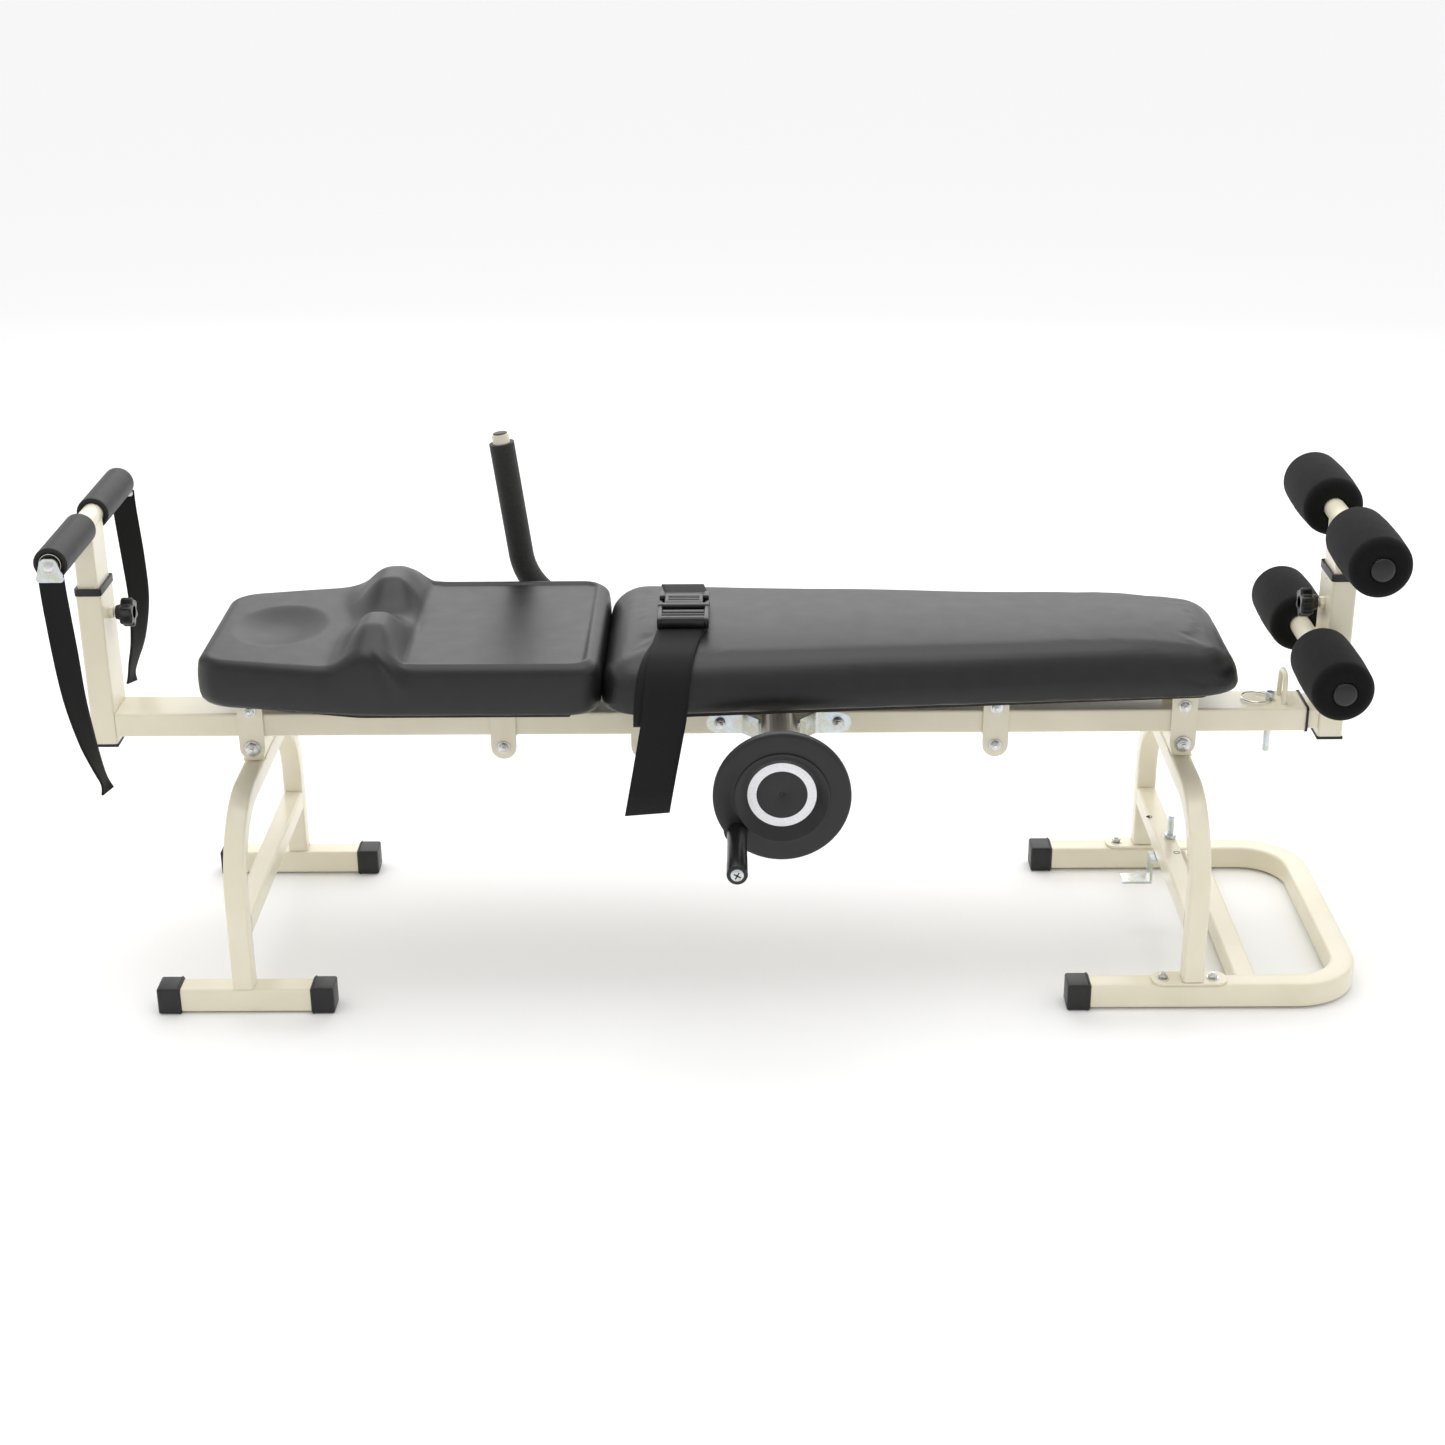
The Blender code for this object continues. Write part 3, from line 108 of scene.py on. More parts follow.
def powderCoat():
    # polyester powder baked on steel: a satin cream skin whose faint orange peel softens each highlight
    look = {"colour": "ECE5CF", "shade": "E4DCC3", "peelMm": 1.6, "cloudMm": 90}
    material, tree, shader, place = newMaterial("beigePowderCoat", Roughness=0.3, IOR=1.5,
                                                Coat_Weight=0.25, Coat_Roughness=0.12)
    cloud = addNode(tree, "TexNoise", {"Scale": 1000 / look["cloudMm"], "Detail": 3.0}, {"Vector": place})
    colour = twoTone(tree, cloud.outputs["Fac"], hexColour(look["shade"]), hexColour(look["colour"]), 0.3,
                     0.65)
    tree.links.new(colour, shader.inputs["Base Color"])
    peel = addNode(tree, "TexNoise", {"Scale": 1000 / look["peelMm"], "Detail": 1.0}, {"Vector": place})
    bump = addNode(tree, "Bump", {"Strength": 0.10, "Distance": 0.0004}, {"Height": peel.outputs["Fac"]})
    tree.links.new(bump.outputs["Normal"], shader.inputs["Normal"])
    tree.links.new(toRange(tree, cloud.outputs["Fac"], 0.26, 0.36), shader.inputs["Roughness"])
    return material


def zincPlate(name="brightZinc", tint="D3DEE8", warm="C9C9BC"):
    # passivated zinc on pressed steel: cool and mirror-like, with cloudy blue and straw patches
    look = {"patchMm": 14, "grainMm": 0.8}
    material, tree, shader, place = newMaterial(name, Metallic=1.0, Roughness=0.28)
    patch = addNode(tree, "TexNoise", {"Scale": 1000 / look["patchMm"], "Detail": 4.0, "Distortion": 0.6},
                    {"Vector": place})
    tree.links.new(twoTone(tree, patch.outputs["Fac"], hexColour(warm), hexColour(tint), 0.38, 0.62),
                   shader.inputs["Base Color"])
    tree.links.new(toRange(tree, patch.outputs["Fac"], 0.18, 0.4), shader.inputs["Roughness"])
    grain = addNode(tree, "TexNoise", {"Scale": 1000 / look["grainMm"], "Detail": 2.0}, {"Vector": place})
    bump = addNode(tree, "Bump", {"Strength": 0.12, "Distance": 0.0002}, {"Height": grain.outputs["Fac"]})
    tree.links.new(bump.outputs["Normal"], shader.inputs["Normal"])
    return material


def mouldedPlastic(name, colour, worn, roughness, textureMm=0.9, strength=0.18):
    # injection-moulded black ABS or PP: spark-eroded mould texture breaks a soft, wide highlight
    material, tree, shader, place = newMaterial(name, Roughness=roughness, IOR=1.5)
    grain = addNode(tree, "TexNoise", {"Scale": 1000 / textureMm, "Detail": 2.0}, {"Vector": place})
    cloud = addNode(tree, "TexNoise", {"Scale": 40.0, "Detail": 3.0}, {"Vector": place})
    tree.links.new(twoTone(tree, cloud.outputs["Fac"], hexColour(colour), hexColour(worn), 0.35, 0.75),
                   shader.inputs["Base Color"])
    bump = addNode(tree, "Bump", {"Strength": strength, "Distance": 0.0003},
                   {"Height": grain.outputs["Fac"]})
    tree.links.new(bump.outputs["Normal"], shader.inputs["Normal"])
    tree.links.new(toRange(tree, cloud.outputs["Fac"], roughness - 0.05, roughness + 0.07),
                   shader.inputs["Roughness"])
    return material


def closedCellFoam(name, colour, light, poreMm, strength, roughness, sheen):
    # extruded NBR foam: a matt black skin pitted by its cells, with a dusty sheen at grazing angles
    material, tree, shader, place = newMaterial(name, Roughness=roughness, Sheen_Weight=sheen,
                                                Sheen_Roughness=0.6, Specular_IOR_Level=0.25)
    pores = addNode(tree, "TexVoronoi", {"Scale": 1000 / poreMm, "Randomness": 1.0}, {"Vector": place})
    soft = addNode(tree, "TexNoise", {"Scale": 260.0, "Detail": 4.0}, {"Vector": place})
    both = addNode(tree, "Math", {"operation": "MULTIPLY_ADD", 1: 0.6},
                   {0: pores.outputs["Distance"], 2: soft.outputs["Fac"]})
    tree.links.new(twoTone(tree, soft.outputs["Fac"], hexColour(colour), hexColour(light), 0.35, 0.7),
                   shader.inputs["Base Color"])
    bump = addNode(tree, "Bump", {"Strength": strength, "Distance": 0.0006},
                   {"Height": both.outputs["Value"]})
    tree.links.new(bump.outputs["Normal"], shader.inputs["Normal"])
    return material


def coatedVinyl():
    # PU leather, calendered onto knit: charcoal black, a fine pebble grain and a broad satin glow
    look = {"colour": "101010", "light": "161616", "grainMm": 1.1, "wrinkleMm": 22}
    material, tree, shader, place = newMaterial("charcoalVinyl", Roughness=0.4, IOR=1.48,
                                                Specular_IOR_Level=0.5)
    pebble = addNode(tree, "TexVoronoi", {"Scale": 1000 / look["grainMm"], "feature": "SMOOTH_F1"},
                     {"Vector": place})
    wrinkle = addNode(tree, "TexNoise", {"Scale": 1000 / look["wrinkleMm"], "Detail": 5.0},
                      {"Vector": place})
    tree.links.new(twoTone(tree, wrinkle.outputs["Fac"], hexColour(look["colour"]),
                           hexColour(look["light"]), 0.35, 0.7), shader.inputs["Base Color"])
    fine = addNode(tree, "Bump", {"Strength": 0.16, "Distance": 0.0004},
                   {"Height": pebble.outputs["Distance"]})
    broad = addNode(tree, "Bump", {"Strength": 0.10, "Distance": 0.002},
                    {"Height": wrinkle.outputs["Fac"], "Normal": fine.outputs["Normal"]})
    tree.links.new(broad.outputs["Normal"], shader.inputs["Normal"])
    tree.links.new(toRange(tree, wrinkle.outputs["Fac"], 0.36, 0.46), shader.inputs["Roughness"])
    return material


def wovenWebbing():
    # polypropylene webbing: flat ribs along it crossed by a tight weft
    look = {"ribMm": 1.6, "weftMm": 1.1, "colour": "070707", "light": "131313"}
    material, tree, shader, _ = newMaterial("blackWebbing", Roughness=0.75, Specular_IOR_Level=0.3,
                                            Sheen_Weight=0.04, Sheen_Roughness=0.5)
    weave = addNode(tree, "Attribute", {"attribute_name": "weave"})
    split = addNode(tree, "SeparateXYZ", links={"Vector": weave.outputs["Vector"]})
    waves = []
    for axis, pitch in (("X", look["ribMm"]), ("Y", look["weftMm"])):
        turn = addNode(tree, "Math", {"operation": "MULTIPLY", 1: 2000 * math.pi / pitch},
                       {0: split.outputs[axis]})
        waves.append(addNode(tree, "Math", {"operation": "SINE"},
                             {0: turn.outputs["Value"]}).outputs["Value"])
    crossed = addNode(tree, "Math", {"operation": "MULTIPLY_ADD"},
                      {0: waves[0], 1: waves[1], 2: waves[0]})
    lifted = toRange(tree, crossed.outputs["Value"], 0.25, 0.75)
    tree.links.new(twoTone(tree, lifted, hexColour(look["colour"]), hexColour(look["light"]), 0.2, 0.9),
                   shader.inputs["Base Color"])
    bump = addNode(tree, "Bump", {"Strength": 0.5, "Distance": 0.0004}, {"Height": lifted})
    tree.links.new(bump.outputs["Normal"], shader.inputs["Normal"])
    return material


def plyDarkForPadShade():
    # plywood coloured near black as painted shade, so the board's edge under the pads reads as the pads'
    # shadow: matt, with 1.5 mm plies just showing on the board's edge
    material, tree, shader, place = newMaterial("plyDarkForPadShade", Roughness=0.75)
    plies = addNode(tree, "TexWave", {"bands_direction": "Z", "Scale": 330.0, "Distortion": 0.4},
                    {"Vector": place})
    grain = addNode(tree, "TexNoise", {"Scale": 60.0, "Detail": 6.0}, {"Vector": place})
    mixed = addNode(tree, "Math", {"operation": "MULTIPLY"},
                    {0: plies.outputs["Fac"], 1: grain.outputs["Fac"]})
    # the two near-black tones are painted shade for the board in the pads' shadow; plies and grain vary
    # between them
    tree.links.new(twoTone(tree, mixed.outputs["Value"], hexColour("1B1815"), hexColour("2B2620"), 0.1,
                           0.5),
                   shader.inputs["Base Color"])
    bump = addNode(tree, "Bump", {"Strength": 0.3, "Distance": 0.0004}, {"Height": grain.outputs["Fac"]})
    tree.links.new(bump.outputs["Normal"], shader.inputs["Normal"])
    return material


paint = powderCoat()
zinc = zincPlate()
steel = zincPlate("bareSteel", "E2E4E6", "C4C2BC")
rubberedPlastic = mouldedPlastic("blackMouldedPP", "0D0D0E", "161616", 0.42)
wheelPlastic = mouldedPlastic("blackWheelABS", "0F0F10", "171718", 0.38, 1.4, 0.10)
glossPlastic = mouldedPlastic("blackNylon", "09090A", "111112", 0.3, 0.7, 0.08)
rollerFoam = closedCellFoam("rollerFoam", "030303", "090909", 1.3, 0.45, 0.95, 0.04)
gripFoam = closedCellFoam("gripFoam", "1C1B1B", "252424", 0.8, 0.12, 0.48, 0.03)
armFoam = closedCellFoam("armFoam", "2B2B2A", "333332", 0.8, 0.12, 0.6, 0.05)
vinyl = coatedVinyl()
webbing = wovenWebbing()
ply = plyDarkForPadShade()
finishOf = {"beige_paint": paint, "zinc_plate": zinc, "black_plastic": rubberedPlastic,
            "black_foam": rollerFoam, "black_vinyl": vinyl, "black_webbing": webbing, "plywood": ply,
            "bright_steel": steel}
for part in frame["record"]["subparts"]:
    cadMesh = frame["nodes"][part["node"]].data
    cadMesh.materials.clear()
    cadMesh.materials.append(finishOf[part["material_slot"]])
print("materials ready")


def finishPiece(name, build, material, body, sharp=35, instead=(), merge=1e-6):
    bmesh.ops.remove_doubles(build, verts=build.verts, dist=merge)
    bmesh.ops.recalc_face_normals(build, faces=build.faces)
    mesh = bpy.data.meshes.new(name)
    build.to_mesh(mesh)
    build.free()
    mesh.shade_smooth()
    mesh.set_sharp_from_angle(angle=math.radians(sharp))
    mesh.materials.append(material)
    piece = bpy.data.objects.new(name, mesh)
    bpy.context.scene.collection.objects.link(piece)
    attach(piece, body)
    if instead:
        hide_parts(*instead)
    return piece


def addPart(build, part, matrix=None):
    if matrix is not None:
        bmesh.ops.transform(part, matrix=matrix, verts=part.verts)
    bmesh.ops.recalc_face_normals(part, faces=part.faces)
    mesh = bpy.data.meshes.new("part")
    part.to_mesh(mesh)
    part.free()
    build.from_mesh(mesh)
    bpy.data.meshes.remove(mesh)


def single(name, part, matrix, material, body, sharp=35, instead=()):
    build = bmesh.new()
    addPart(build, part, matrix)
    return finishPiece(name, build, material, body, sharp, instead)


def aimed(at, direction, spin=0.0):
    turn = Vector((0, 0, 1)).rotation_difference(Vector(direction)).to_matrix().to_4x4()
    return Matrix.Translation(at) @ turn @ Matrix.Rotation(spin, 4, "Z")


def roundOver(part, edges, width, steps=3):
    bmesh.ops.bevel(part, geom=edges, offset=width, offset_type="OFFSET", segments=steps, profile=0.5,
                    affect="EDGES", material=-1, clamp_overlap=True)


def flatRims(part):
    return [e for e in part.edges if abs(e.verts[0].co.z - e.verts[1].co.z) < 1e-7 and
            len({round(abs(f.normal.z), 2) for f in e.link_faces}) > 1]


def rod(radius, length, rim=0.0, steps=48, top=None):
    part = bmesh.new()
    bmesh.ops.create_cone(part, cap_ends=True, segments=steps, radius1=radius,
                          radius2=radius if top is None else top, depth=length)
    part.normal_update()
    if rim:
        roundOver(part, flatRims(part), rim)
    bmesh.ops.translate(part, vec=(0, 0, length / 2), verts=part.verts)
    return part


def block(size, edge=0.0, steps=3):
    part = bmesh.new()
    bmesh.ops.create_cube(part, size=1.0)
    bmesh.ops.scale(part, vec=size, verts=part.verts)
    if edge:
        roundOver(part, part.edges[:], edge, steps)
    return part


def turned(profile, steps=64):
    part = bmesh.new()
    points = [part.verts.new((radius, 0, height)) for radius, height in profile]
    line = [part.edges.new(pair) for pair in zip(points, points[1:])]
    bmesh.ops.spin(part, geom=points + line, axis=(0, 0, 1), cent=(0, 0, 0), angle=2 * math.pi,
                   steps=steps, use_merge=True)
    bmesh.ops.remove_doubles(part, verts=part.verts, dist=1e-7)
    return part


def softPath(points, radii, steps=10):
    path = [Vector(points[0])]
    for k, radius in enumerate(radii, 1):
        before, at, after = (Vector(points[k + d]) for d in (-1, 0, 1))
        into, out = (at - before).normalized(), (after - at).normalized()
        turn = into.angle(out)
        start = at - into * radius * math.tan(turn / 2)
        side = (out - into * out.dot(into)).normalized()
        for s in range(steps + 1):
            angle = turn * s / steps
            path.append(start + side * radius * (1 - math.cos(angle)) + into * radius * math.sin(angle))
    return path + [Vector(points[-1])]


def boxRing(part, width, height, corner, matrix, steps=4):
    bmesh.ops.create_grid(part, x_segments=1, y_segments=1, size=0.5)
    bmesh.ops.scale(part, vec=(width, height, 1), verts=part.verts)
    bmesh.ops.bevel(part, geom=part.verts[:], offset=corner, offset_type="OFFSET", segments=steps,
                    profile=0.5, affect="VERTICES", material=-1)
    bmesh.ops.delete(part, geom=part.faces[:], context="FACES_ONLY")
    bmesh.ops.transform(part, matrix=matrix, verts=part.verts)
    return part.edges[:]


def roundRing(part, radius, matrix, steps=28):
    bmesh.ops.create_circle(part, cap_ends=False, segments=steps, radius=radius)
    bmesh.ops.transform(part, matrix=matrix, verts=part.verts)
    return part.edges[:]


def grow(part, edges):
    # one more row beyond an open run of edges: its points, and the edges that end it
    made = bmesh.ops.extrude_edge_only(part, edges=edges)["geom"]
    fresh = [g for g in made if isinstance(g, bmesh.types.BMVert)]
    known = set(fresh)
    return fresh, [g for g in made if isinstance(g, bmesh.types.BMEdge) and set(g.verts) <= known]


def carryRing(part, ring, moves):
    for move in moves:
        corners = list({v for e in ring for v in e.verts})
        if "run" in move:
            fresh, ring = grow(part, ring)
            bmesh.ops.translate(part, vec=move["run"], verts=fresh)
        else:
            last = bmesh.ops.spin(part, geom=ring + corners, cent=move["about"], axis=move["axis"],
                                  angle=math.radians(move["angle"]),
                                  steps=move.get("steps", 18))["geom_last"]
            ring = [g for g in last if isinstance(g, bmesh.types.BMEdge)]
    return ring


def closeEnds(part):
    bmesh.ops.holes_fill(part, edges=[e for e in part.edges if e.is_boundary])


def hexNut(radius, height, steps=6):
    part = rod(radius, height, 0.0, steps)
    roundOver(part, flatRims(part), radius * 0.08, 2)
    return part


def bolted(build, at, direction, size):
    # washer, nut and the bolt's end standing through it
    washer = turned([(size * 0.5, 0), (size * 1.18, 0), (size * 1.22, size * 0.06),
                     (size * 1.18, size * 0.14), (size * 0.5, size * 0.14), (size * 0.5, 0)], 40)
    addPart(build, washer, aimed(at, direction))
    lift = Vector(direction).normalized() * size * 0.14
    addPart(build, hexNut(size * 0.92, size * 0.62), aimed(at + lift, direction, 0.3))
    collar = turned([(0, 0), (size * 0.66, 0), (size * 0.62, size * 0.16), (size * 0.5, size * 0.2),
                     (0, size * 0.2)], 32)
    addPart(build, collar, aimed(at + lift + Vector(direction).normalized() * size * 0.6, direction))
    addPart(build, rod(size * 0.44, size * 1.05, size * 0.08, 24), aimed(at + lift, direction))

legSpec = {"tube": 0.025, "corner": 0.0035, "bend": 0.100, "lugHalf": 0.0294, "lugRadius": 0.0121,
           "drop": 0.0173, "plate": (0.0905, 0.0300, 0.0029), "plateCorner": 0.0125}


def legArch(name, body):
    low, high, mid = boxOf(name)
    tube, bend = legSpec["tube"], legSpec["bend"]
    build = bmesh.new()
    pivotX = boxOf(name.split("_")[0] + "_pivot_bolt")[2].x
    pivotZ = boxOf(name.split("_")[0] + "_pivot_bolt")[2].z
    outer = boxOf("head_leg_arch")[1].y - midY
    legY = outer - tube / 2
    topZ = pivotZ - legSpec["drop"] - tube / 2
    floorZ = low.z + (0.004 if name.startswith("foot") else 0.0)
    ring = boxRing(build, tube, tube, legSpec["corner"],
                   Matrix.Translation((pivotX, midY - legY, floorZ)))
    ring = carryRing(build, ring, [
        {"run": (0, 0, topZ - bend - floorZ)},
        {"about": (pivotX, midY - legY + bend, topZ - bend), "axis": (-1, 0, 0), "angle": 90,
         "steps": 22},
        {"run": (0, 2 * (legY - bend), 0)},
        {"about": (pivotX, midY + legY - bend, topZ - bend), "axis": (-1, 0, 0), "angle": 90,
         "steps": 22},
        {"run": (0, 0, floorZ - topZ + bend)}])
    closeEnds(build)
    # the lug that the pivot bolt passes through, with the weld round its foot
    half = legSpec["lugHalf"]
    lug = block((0.0242, 2 * half, pivotZ - topZ), 0.0)
    addPart(build, lug, Matrix.Translation((pivotX, midY, (pivotZ + topZ) / 2)))
    barrel = rod(legSpec["lugRadius"], 2 * half, 0.0008, 40)
    addPart(build, barrel, aimed(Vector((pivotX, midY - half, pivotZ)), (0, 1, 0)))
    for side in (-1, 1):
        bead = rod(0.0018, 2 * half - 0.002, 0.0008, 10)
        addPart(build, bead, aimed(Vector((pivotX + side * 0.0121, midY - half + 0.001, topZ + tube / 2)),
                                   (0, 1, 0)))
    if name.startswith("foot"):
        for side in (-1, 1):
            plate = block(legSpec["plate"], 0.0)
            corners = [e for e in plate.edges if abs(e.verts[0].co.z - e.verts[1].co.z) > 1e-4]
            roundOver(plate, corners, legSpec["plateCorner"], 8)
            addPart(build, plate, Matrix.Translation((low.x + 0.04525, midY + side * 0.1875,
                                                      low.z + 0.00165)))
    finishPiece(name + "_tube", build, paint, body, 40, (name,))
    return pivotX


print("bending the frame tubes")
legArch("head_leg_arch", "head_leg")
footPivotX = legArch("foot_leg_arch", "foot_leg")

railLow, railHigh, railMid = boxOf("base_rail")
railSpec = {"tube": 0.030, "corner": 0.004, "bend": 0.068}
build = bmesh.new()
railY = (railHigh.y - railLow.y) / 2 - railSpec["tube"] / 2
endX = railHigh.x - railSpec["tube"] / 2
ring = boxRing(build, 0.030, 0.030, railSpec["corner"],
               Matrix.Translation((railLow.x, midY - railY, railMid.z)) @ Matrix.Rotation(math.pi / 2, 4,
                       "Y"))
bend = railSpec["bend"]
ring = carryRing(build, ring, [
    {"run": (endX - bend - railLow.x, 0, 0)},
    {"about": (endX - bend, midY - railY + bend, railMid.z), "axis": (0, 0, 1), "angle": 90, "steps": 22},
    {"run": (0, 2 * (railY - bend), 0)},
    {"about": (endX - bend, midY + railY - bend, railMid.z), "axis": (0, 0, 1), "angle": 90, "steps": 22},
    {"run": (railLow.x - endX + bend, 0, 0)}])
closeEnds(build)
for side in (-1, 1):
    for turnBack in (-1, 1):    # fillet welds where the crossbar meets the rails
        bead = rod(0.0019, 0.024, 0.0008, 10)
        crossMid = boxOf("base_crossbar")[2]
        at = Vector((crossMid.x + turnBack * 0.013, midY + side * (railY - 0.0152), railMid.z - 0.012))
        addPart(build, bead, aimed(at, (0, 0, 1)))
finishPiece("base_rail_tube", build, paint, "foot_leg", 40, ("base_rail",))

# the arm bar: a bent round tube with its foam sleeve and plug
armLow = boxOf("arm_bar")[0]
armSpec = {"radius": 0.011, "foam": 0.0160, "plug": 0.0098}
armZ = boxOf("arm_bracket")[1].z - 0.0165
armX = boxOf("arm_bracket")[2].x
armPoints = [(armX, armLow.y, armZ), (armX, midY + 0.205, armZ), onBed(-0.2800, 0.205, 0.418),
             onBed(-0.3035, 0.205, 0.603)]
armPath = softPath(armPoints, (0.030, 0.085), 12)


def pathTube(path, radius, steps=28):
    part = bmesh.new()
    ring = roundRing(part, radius, Matrix.Identity(4), steps)
    heading = Vector((0, 0, 1))
    turn = heading.rotation_difference((path[1] - path[0]).normalized()).to_matrix().to_4x4()
    bmesh.ops.transform(part, matrix=Matrix.Translation(path[0]) @ turn, verts=part.verts)
    for k in range(1, len(path)):
        before = (path[k] - path[k - 1]).normalized()
        after = (path[min(k + 1, len(path) - 1)] - path[min(k, len(path) - 2)]).normalized()
        fresh, ring = grow(part, ring)
        bmesh.ops.translate(part, vec=path[k] - path[k - 1], verts=fresh)
        spin = before.rotation_difference(after) if k < len(path) - 1 else None
        if spin:
            bmesh.ops.rotate(part, cent=path[k], matrix=spin.to_matrix(), verts=fresh)
    closeEnds(part)
    return part


single("arm_bar_tube", pathTube(armPath, armSpec["radius"]), None, paint, "arm", 40, ("arm_bar",))
tip = armPath[-1]
rise = (armPath[-1] - armPath[-2]).normalized()
foamPath = armPath[13:-1]
foamEnd = tip - rise * 0.012
upper = [foamPath[-1].lerp(foamEnd, k / 12) for k in range(1, 13)]
piece = single("arm_foam_sleeve", pathTube(foamPath + upper, armSpec["foam"], 36), None, armFoam, "arm",
               50, ("arm_foam",))
single("arm_plug", turned([(0, 0.0026), (0.006, 0.0026), (0.0088, 0.0018), (0.0098, 0.0),
                           (0.0098, -0.006), (0, -0.006)], 40), aimed(tip - rise * 0.0008, rise),
       rubberedPlastic, "arm")


print("plastic caps, collars and plugs")


def footCap(name, body, outward):
    low, high, mid = boxOf(name)
    build = bmesh.new()
    size = high - low
    shell = block(size, 0.0, 3)
    roundOver(shell, shell.edges[:], 0.0028, 4)
    addPart(build, shell, Matrix.Translation(mid))
    # the moulded lip round its mouth
    lip = block((0.0022, size.y + 0.0006, size.z - 0.0002), 0.0006, 2)
    addPart(build, lip, Matrix.Translation((mid.x - outward * (size.x / 2 - 0.0030), mid.y,
                                            mid.z + 0.0001)))
    finishPiece(name + "_moulded", build, rubberedPlastic, body, 50, (name,))


for node, outward in (("head_foot_cap_near_outer", -1), ("head_foot_cap_near_inner", 1),
                      ("head_foot_cap_far_outer", -1), ("head_foot_cap_far_inner", 1)):
    footCap(node, "head_leg", outward)
footCap("base_cap_near", "foot_leg", -1)
footCap("base_cap_far", "foot_leg", -1)


def sleeveCollar(name, body, sleeve, post, top):
    # a moulded guide in the sleeve's mouth, or a plug in its foot
    low, high, mid = boxOf(sleeve)
    width = 0.030
    centre = boxOf(post)[2]
    build = bmesh.new()
    if top:
        shell = bmesh.new()
        ring = boxRing(shell, width + 0.0024, 0.060 + 0.0024, 0.0042, Matrix.Translation((0, 0, -0.0045)))
        carryRing(shell, ring, [{"run": (0, 0, 0.0085)}])
        bmesh.ops.recalc_face_normals(shell, faces=shell.faces)
        lid = bmesh.new()
        rimEdges = boxRing(lid, width + 0.0024, 0.060 + 0.0024, 0.0042, Matrix.Translation((0, 0, 0.004)))
        fresh, _ = grow(lid, rimEdges)
        bmesh.ops.scale(lid, vec=(0.0256 / (width + 0.0024), 0.0558 / 0.0624, 1), verts=fresh)
        addPart(shell, lid)
        bmesh.ops.remove_doubles(shell, verts=shell.verts, dist=1e-5)
        bmesh.ops.recalc_face_normals(shell, faces=shell.faces)
        bmesh.ops.solidify(shell, geom=shell.faces[:], thickness=0.0009)
        addPart(build, shell, Matrix.Translation((centre.x, midY, high.z + 0.0002)))
    else:
        plate = block((width + 0.002, 0.062, 0.004), 0.0014, 3)
        addPart(build, plate, Matrix.Translation((centre.x, midY, low.z - 0.0016)))
    finishPiece(name, build, rubberedPlastic, body, 45)


sleeveCollar("head_collar", "frame", "head_sleeve", "head_sleeve", True)
sleeveCollar("head_plug", "frame", "head_sleeve", "head_sleeve", False)
sleeveCollar("ankle_collar", "ankle_slide", "ankle_sleeve", "ankle_post", True)
sleeveCollar("ankle_plug", "ankle_slide", "ankle_sleeve", "ankle_post", False)

# the guide at the beam's mouth
build = bmesh.new()
shell = bmesh.new()
facing = Matrix.Translation((beamHigh.x - 0.0010, midY, tubeMid.z)) @ Matrix.Rotation(math.pi / 2, 4, "Y")
ring = boxRing(shell, 0.0326, 0.0626, 0.0042, facing)
ring = carryRing(shell, ring, [{"run": (0.0030, 0, 0)}])
fresh, _ = grow(shell, ring)
bmesh.ops.scale(shell, vec=(1, 0.0556 / 0.0626, 0.0256 / 0.0326), verts=fresh,
                space=Matrix.Translation((-beamHigh.x, -midY, -tubeMid.z)))
bmesh.ops.recalc_face_normals(shell, faces=shell.faces)
bmesh.ops.solidify(shell, geom=shell.faces[:], thickness=0.0009)
addPart(build, shell)
finishPiece("beam_collar", build, rubberedPlastic, "frame", 45)


print("foam and knobs")


def foamTube(name, node, body, outer, inner, edge, material, crown=0.0):
    low, high, mid = boxOf(node)
    length = high.y - low.y
    rim = [(outer - crown - edge + edge * math.sin(a), edge - edge * math.cos(a))
           for a in (math.radians(90 * k / 8) for k in range(9))]
    rows = 26
    side = [(outer + crown * math.sin(math.pi * k / rows) - crown, edge + (length - 2 * edge) * k / rows)
            for k in range(1, rows)]
    far = [(r, length - h) for r, h in reversed(rim)]
    profile = [(inner, 0.0012), (inner + 0.0012, 0)] + rim + side + far + [(inner + 0.0012, length),
            (inner, length - 0.0012), (inner, 0.0012)]
    part = turned(profile, 72)
    for vert in part.verts:    # foam never cuts or cures quite true
        away = Vector((vert.co.x, vert.co.y, 0))
        if away.length > inner + 0.002:
            shift = noise.noise(vert.co * 55 + Vector((low.y * 31, 0, 0))) * 0.0002
            vert.co += away.normalized() * (shift - 0.0002)
    piece = single(name, part, aimed(Vector((mid.x, low.y, mid.z)), (0, 1, 0)), material, body, 50,
                   (node,))
    return piece


for level in ("upper", "lower"):
    for side in ("near", "far"):
        foamTube(f"foam_roller_{level}_{side}", f"roller_{level}_{side}", f"{level}_roller_{side}",
                 0.0380, 0.0139, 0.012, rollerFoam, crown=0.0015)
for side in ("near", "far"):
    foamTube(f"foam_grip_{side}", f"head_grip_{side}", "head_bar", 0.0195, 0.0131, 0.0022, gripFoam)

plugSpec = {"radius": 0.0140, "dome": 0.0045}
for level, body in (("upper", "upper_bar"), ("lower", "ankle_slide")):
    for side, sign in (("near", -1), ("far", 1)):
        low, high, mid = boxOf(f"roller_{level}_{side}")
        face = low.y if sign < 0 else high.y
        at = Vector((mid.x, face - sign * 0.001, mid.z))
        radius, dome = plugSpec["radius"], plugSpec["dome"]
        profile = [(0, -0.004), (radius - 0.0024, -0.004), (radius - 0.002, 0.0008), (radius, 0.0012),
                   (radius, 0.0022)]
        profile += [(radius * math.cos(a), 0.0022 + dome * math.sin(a)) for a in
                    (math.radians(90 * k / 8) for k in range(1, 9))]
        single(f"roller_plug_{level}_{side}", turned(profile, 48), aimed(at, (0, sign, 0)), glossPlastic,
               body)


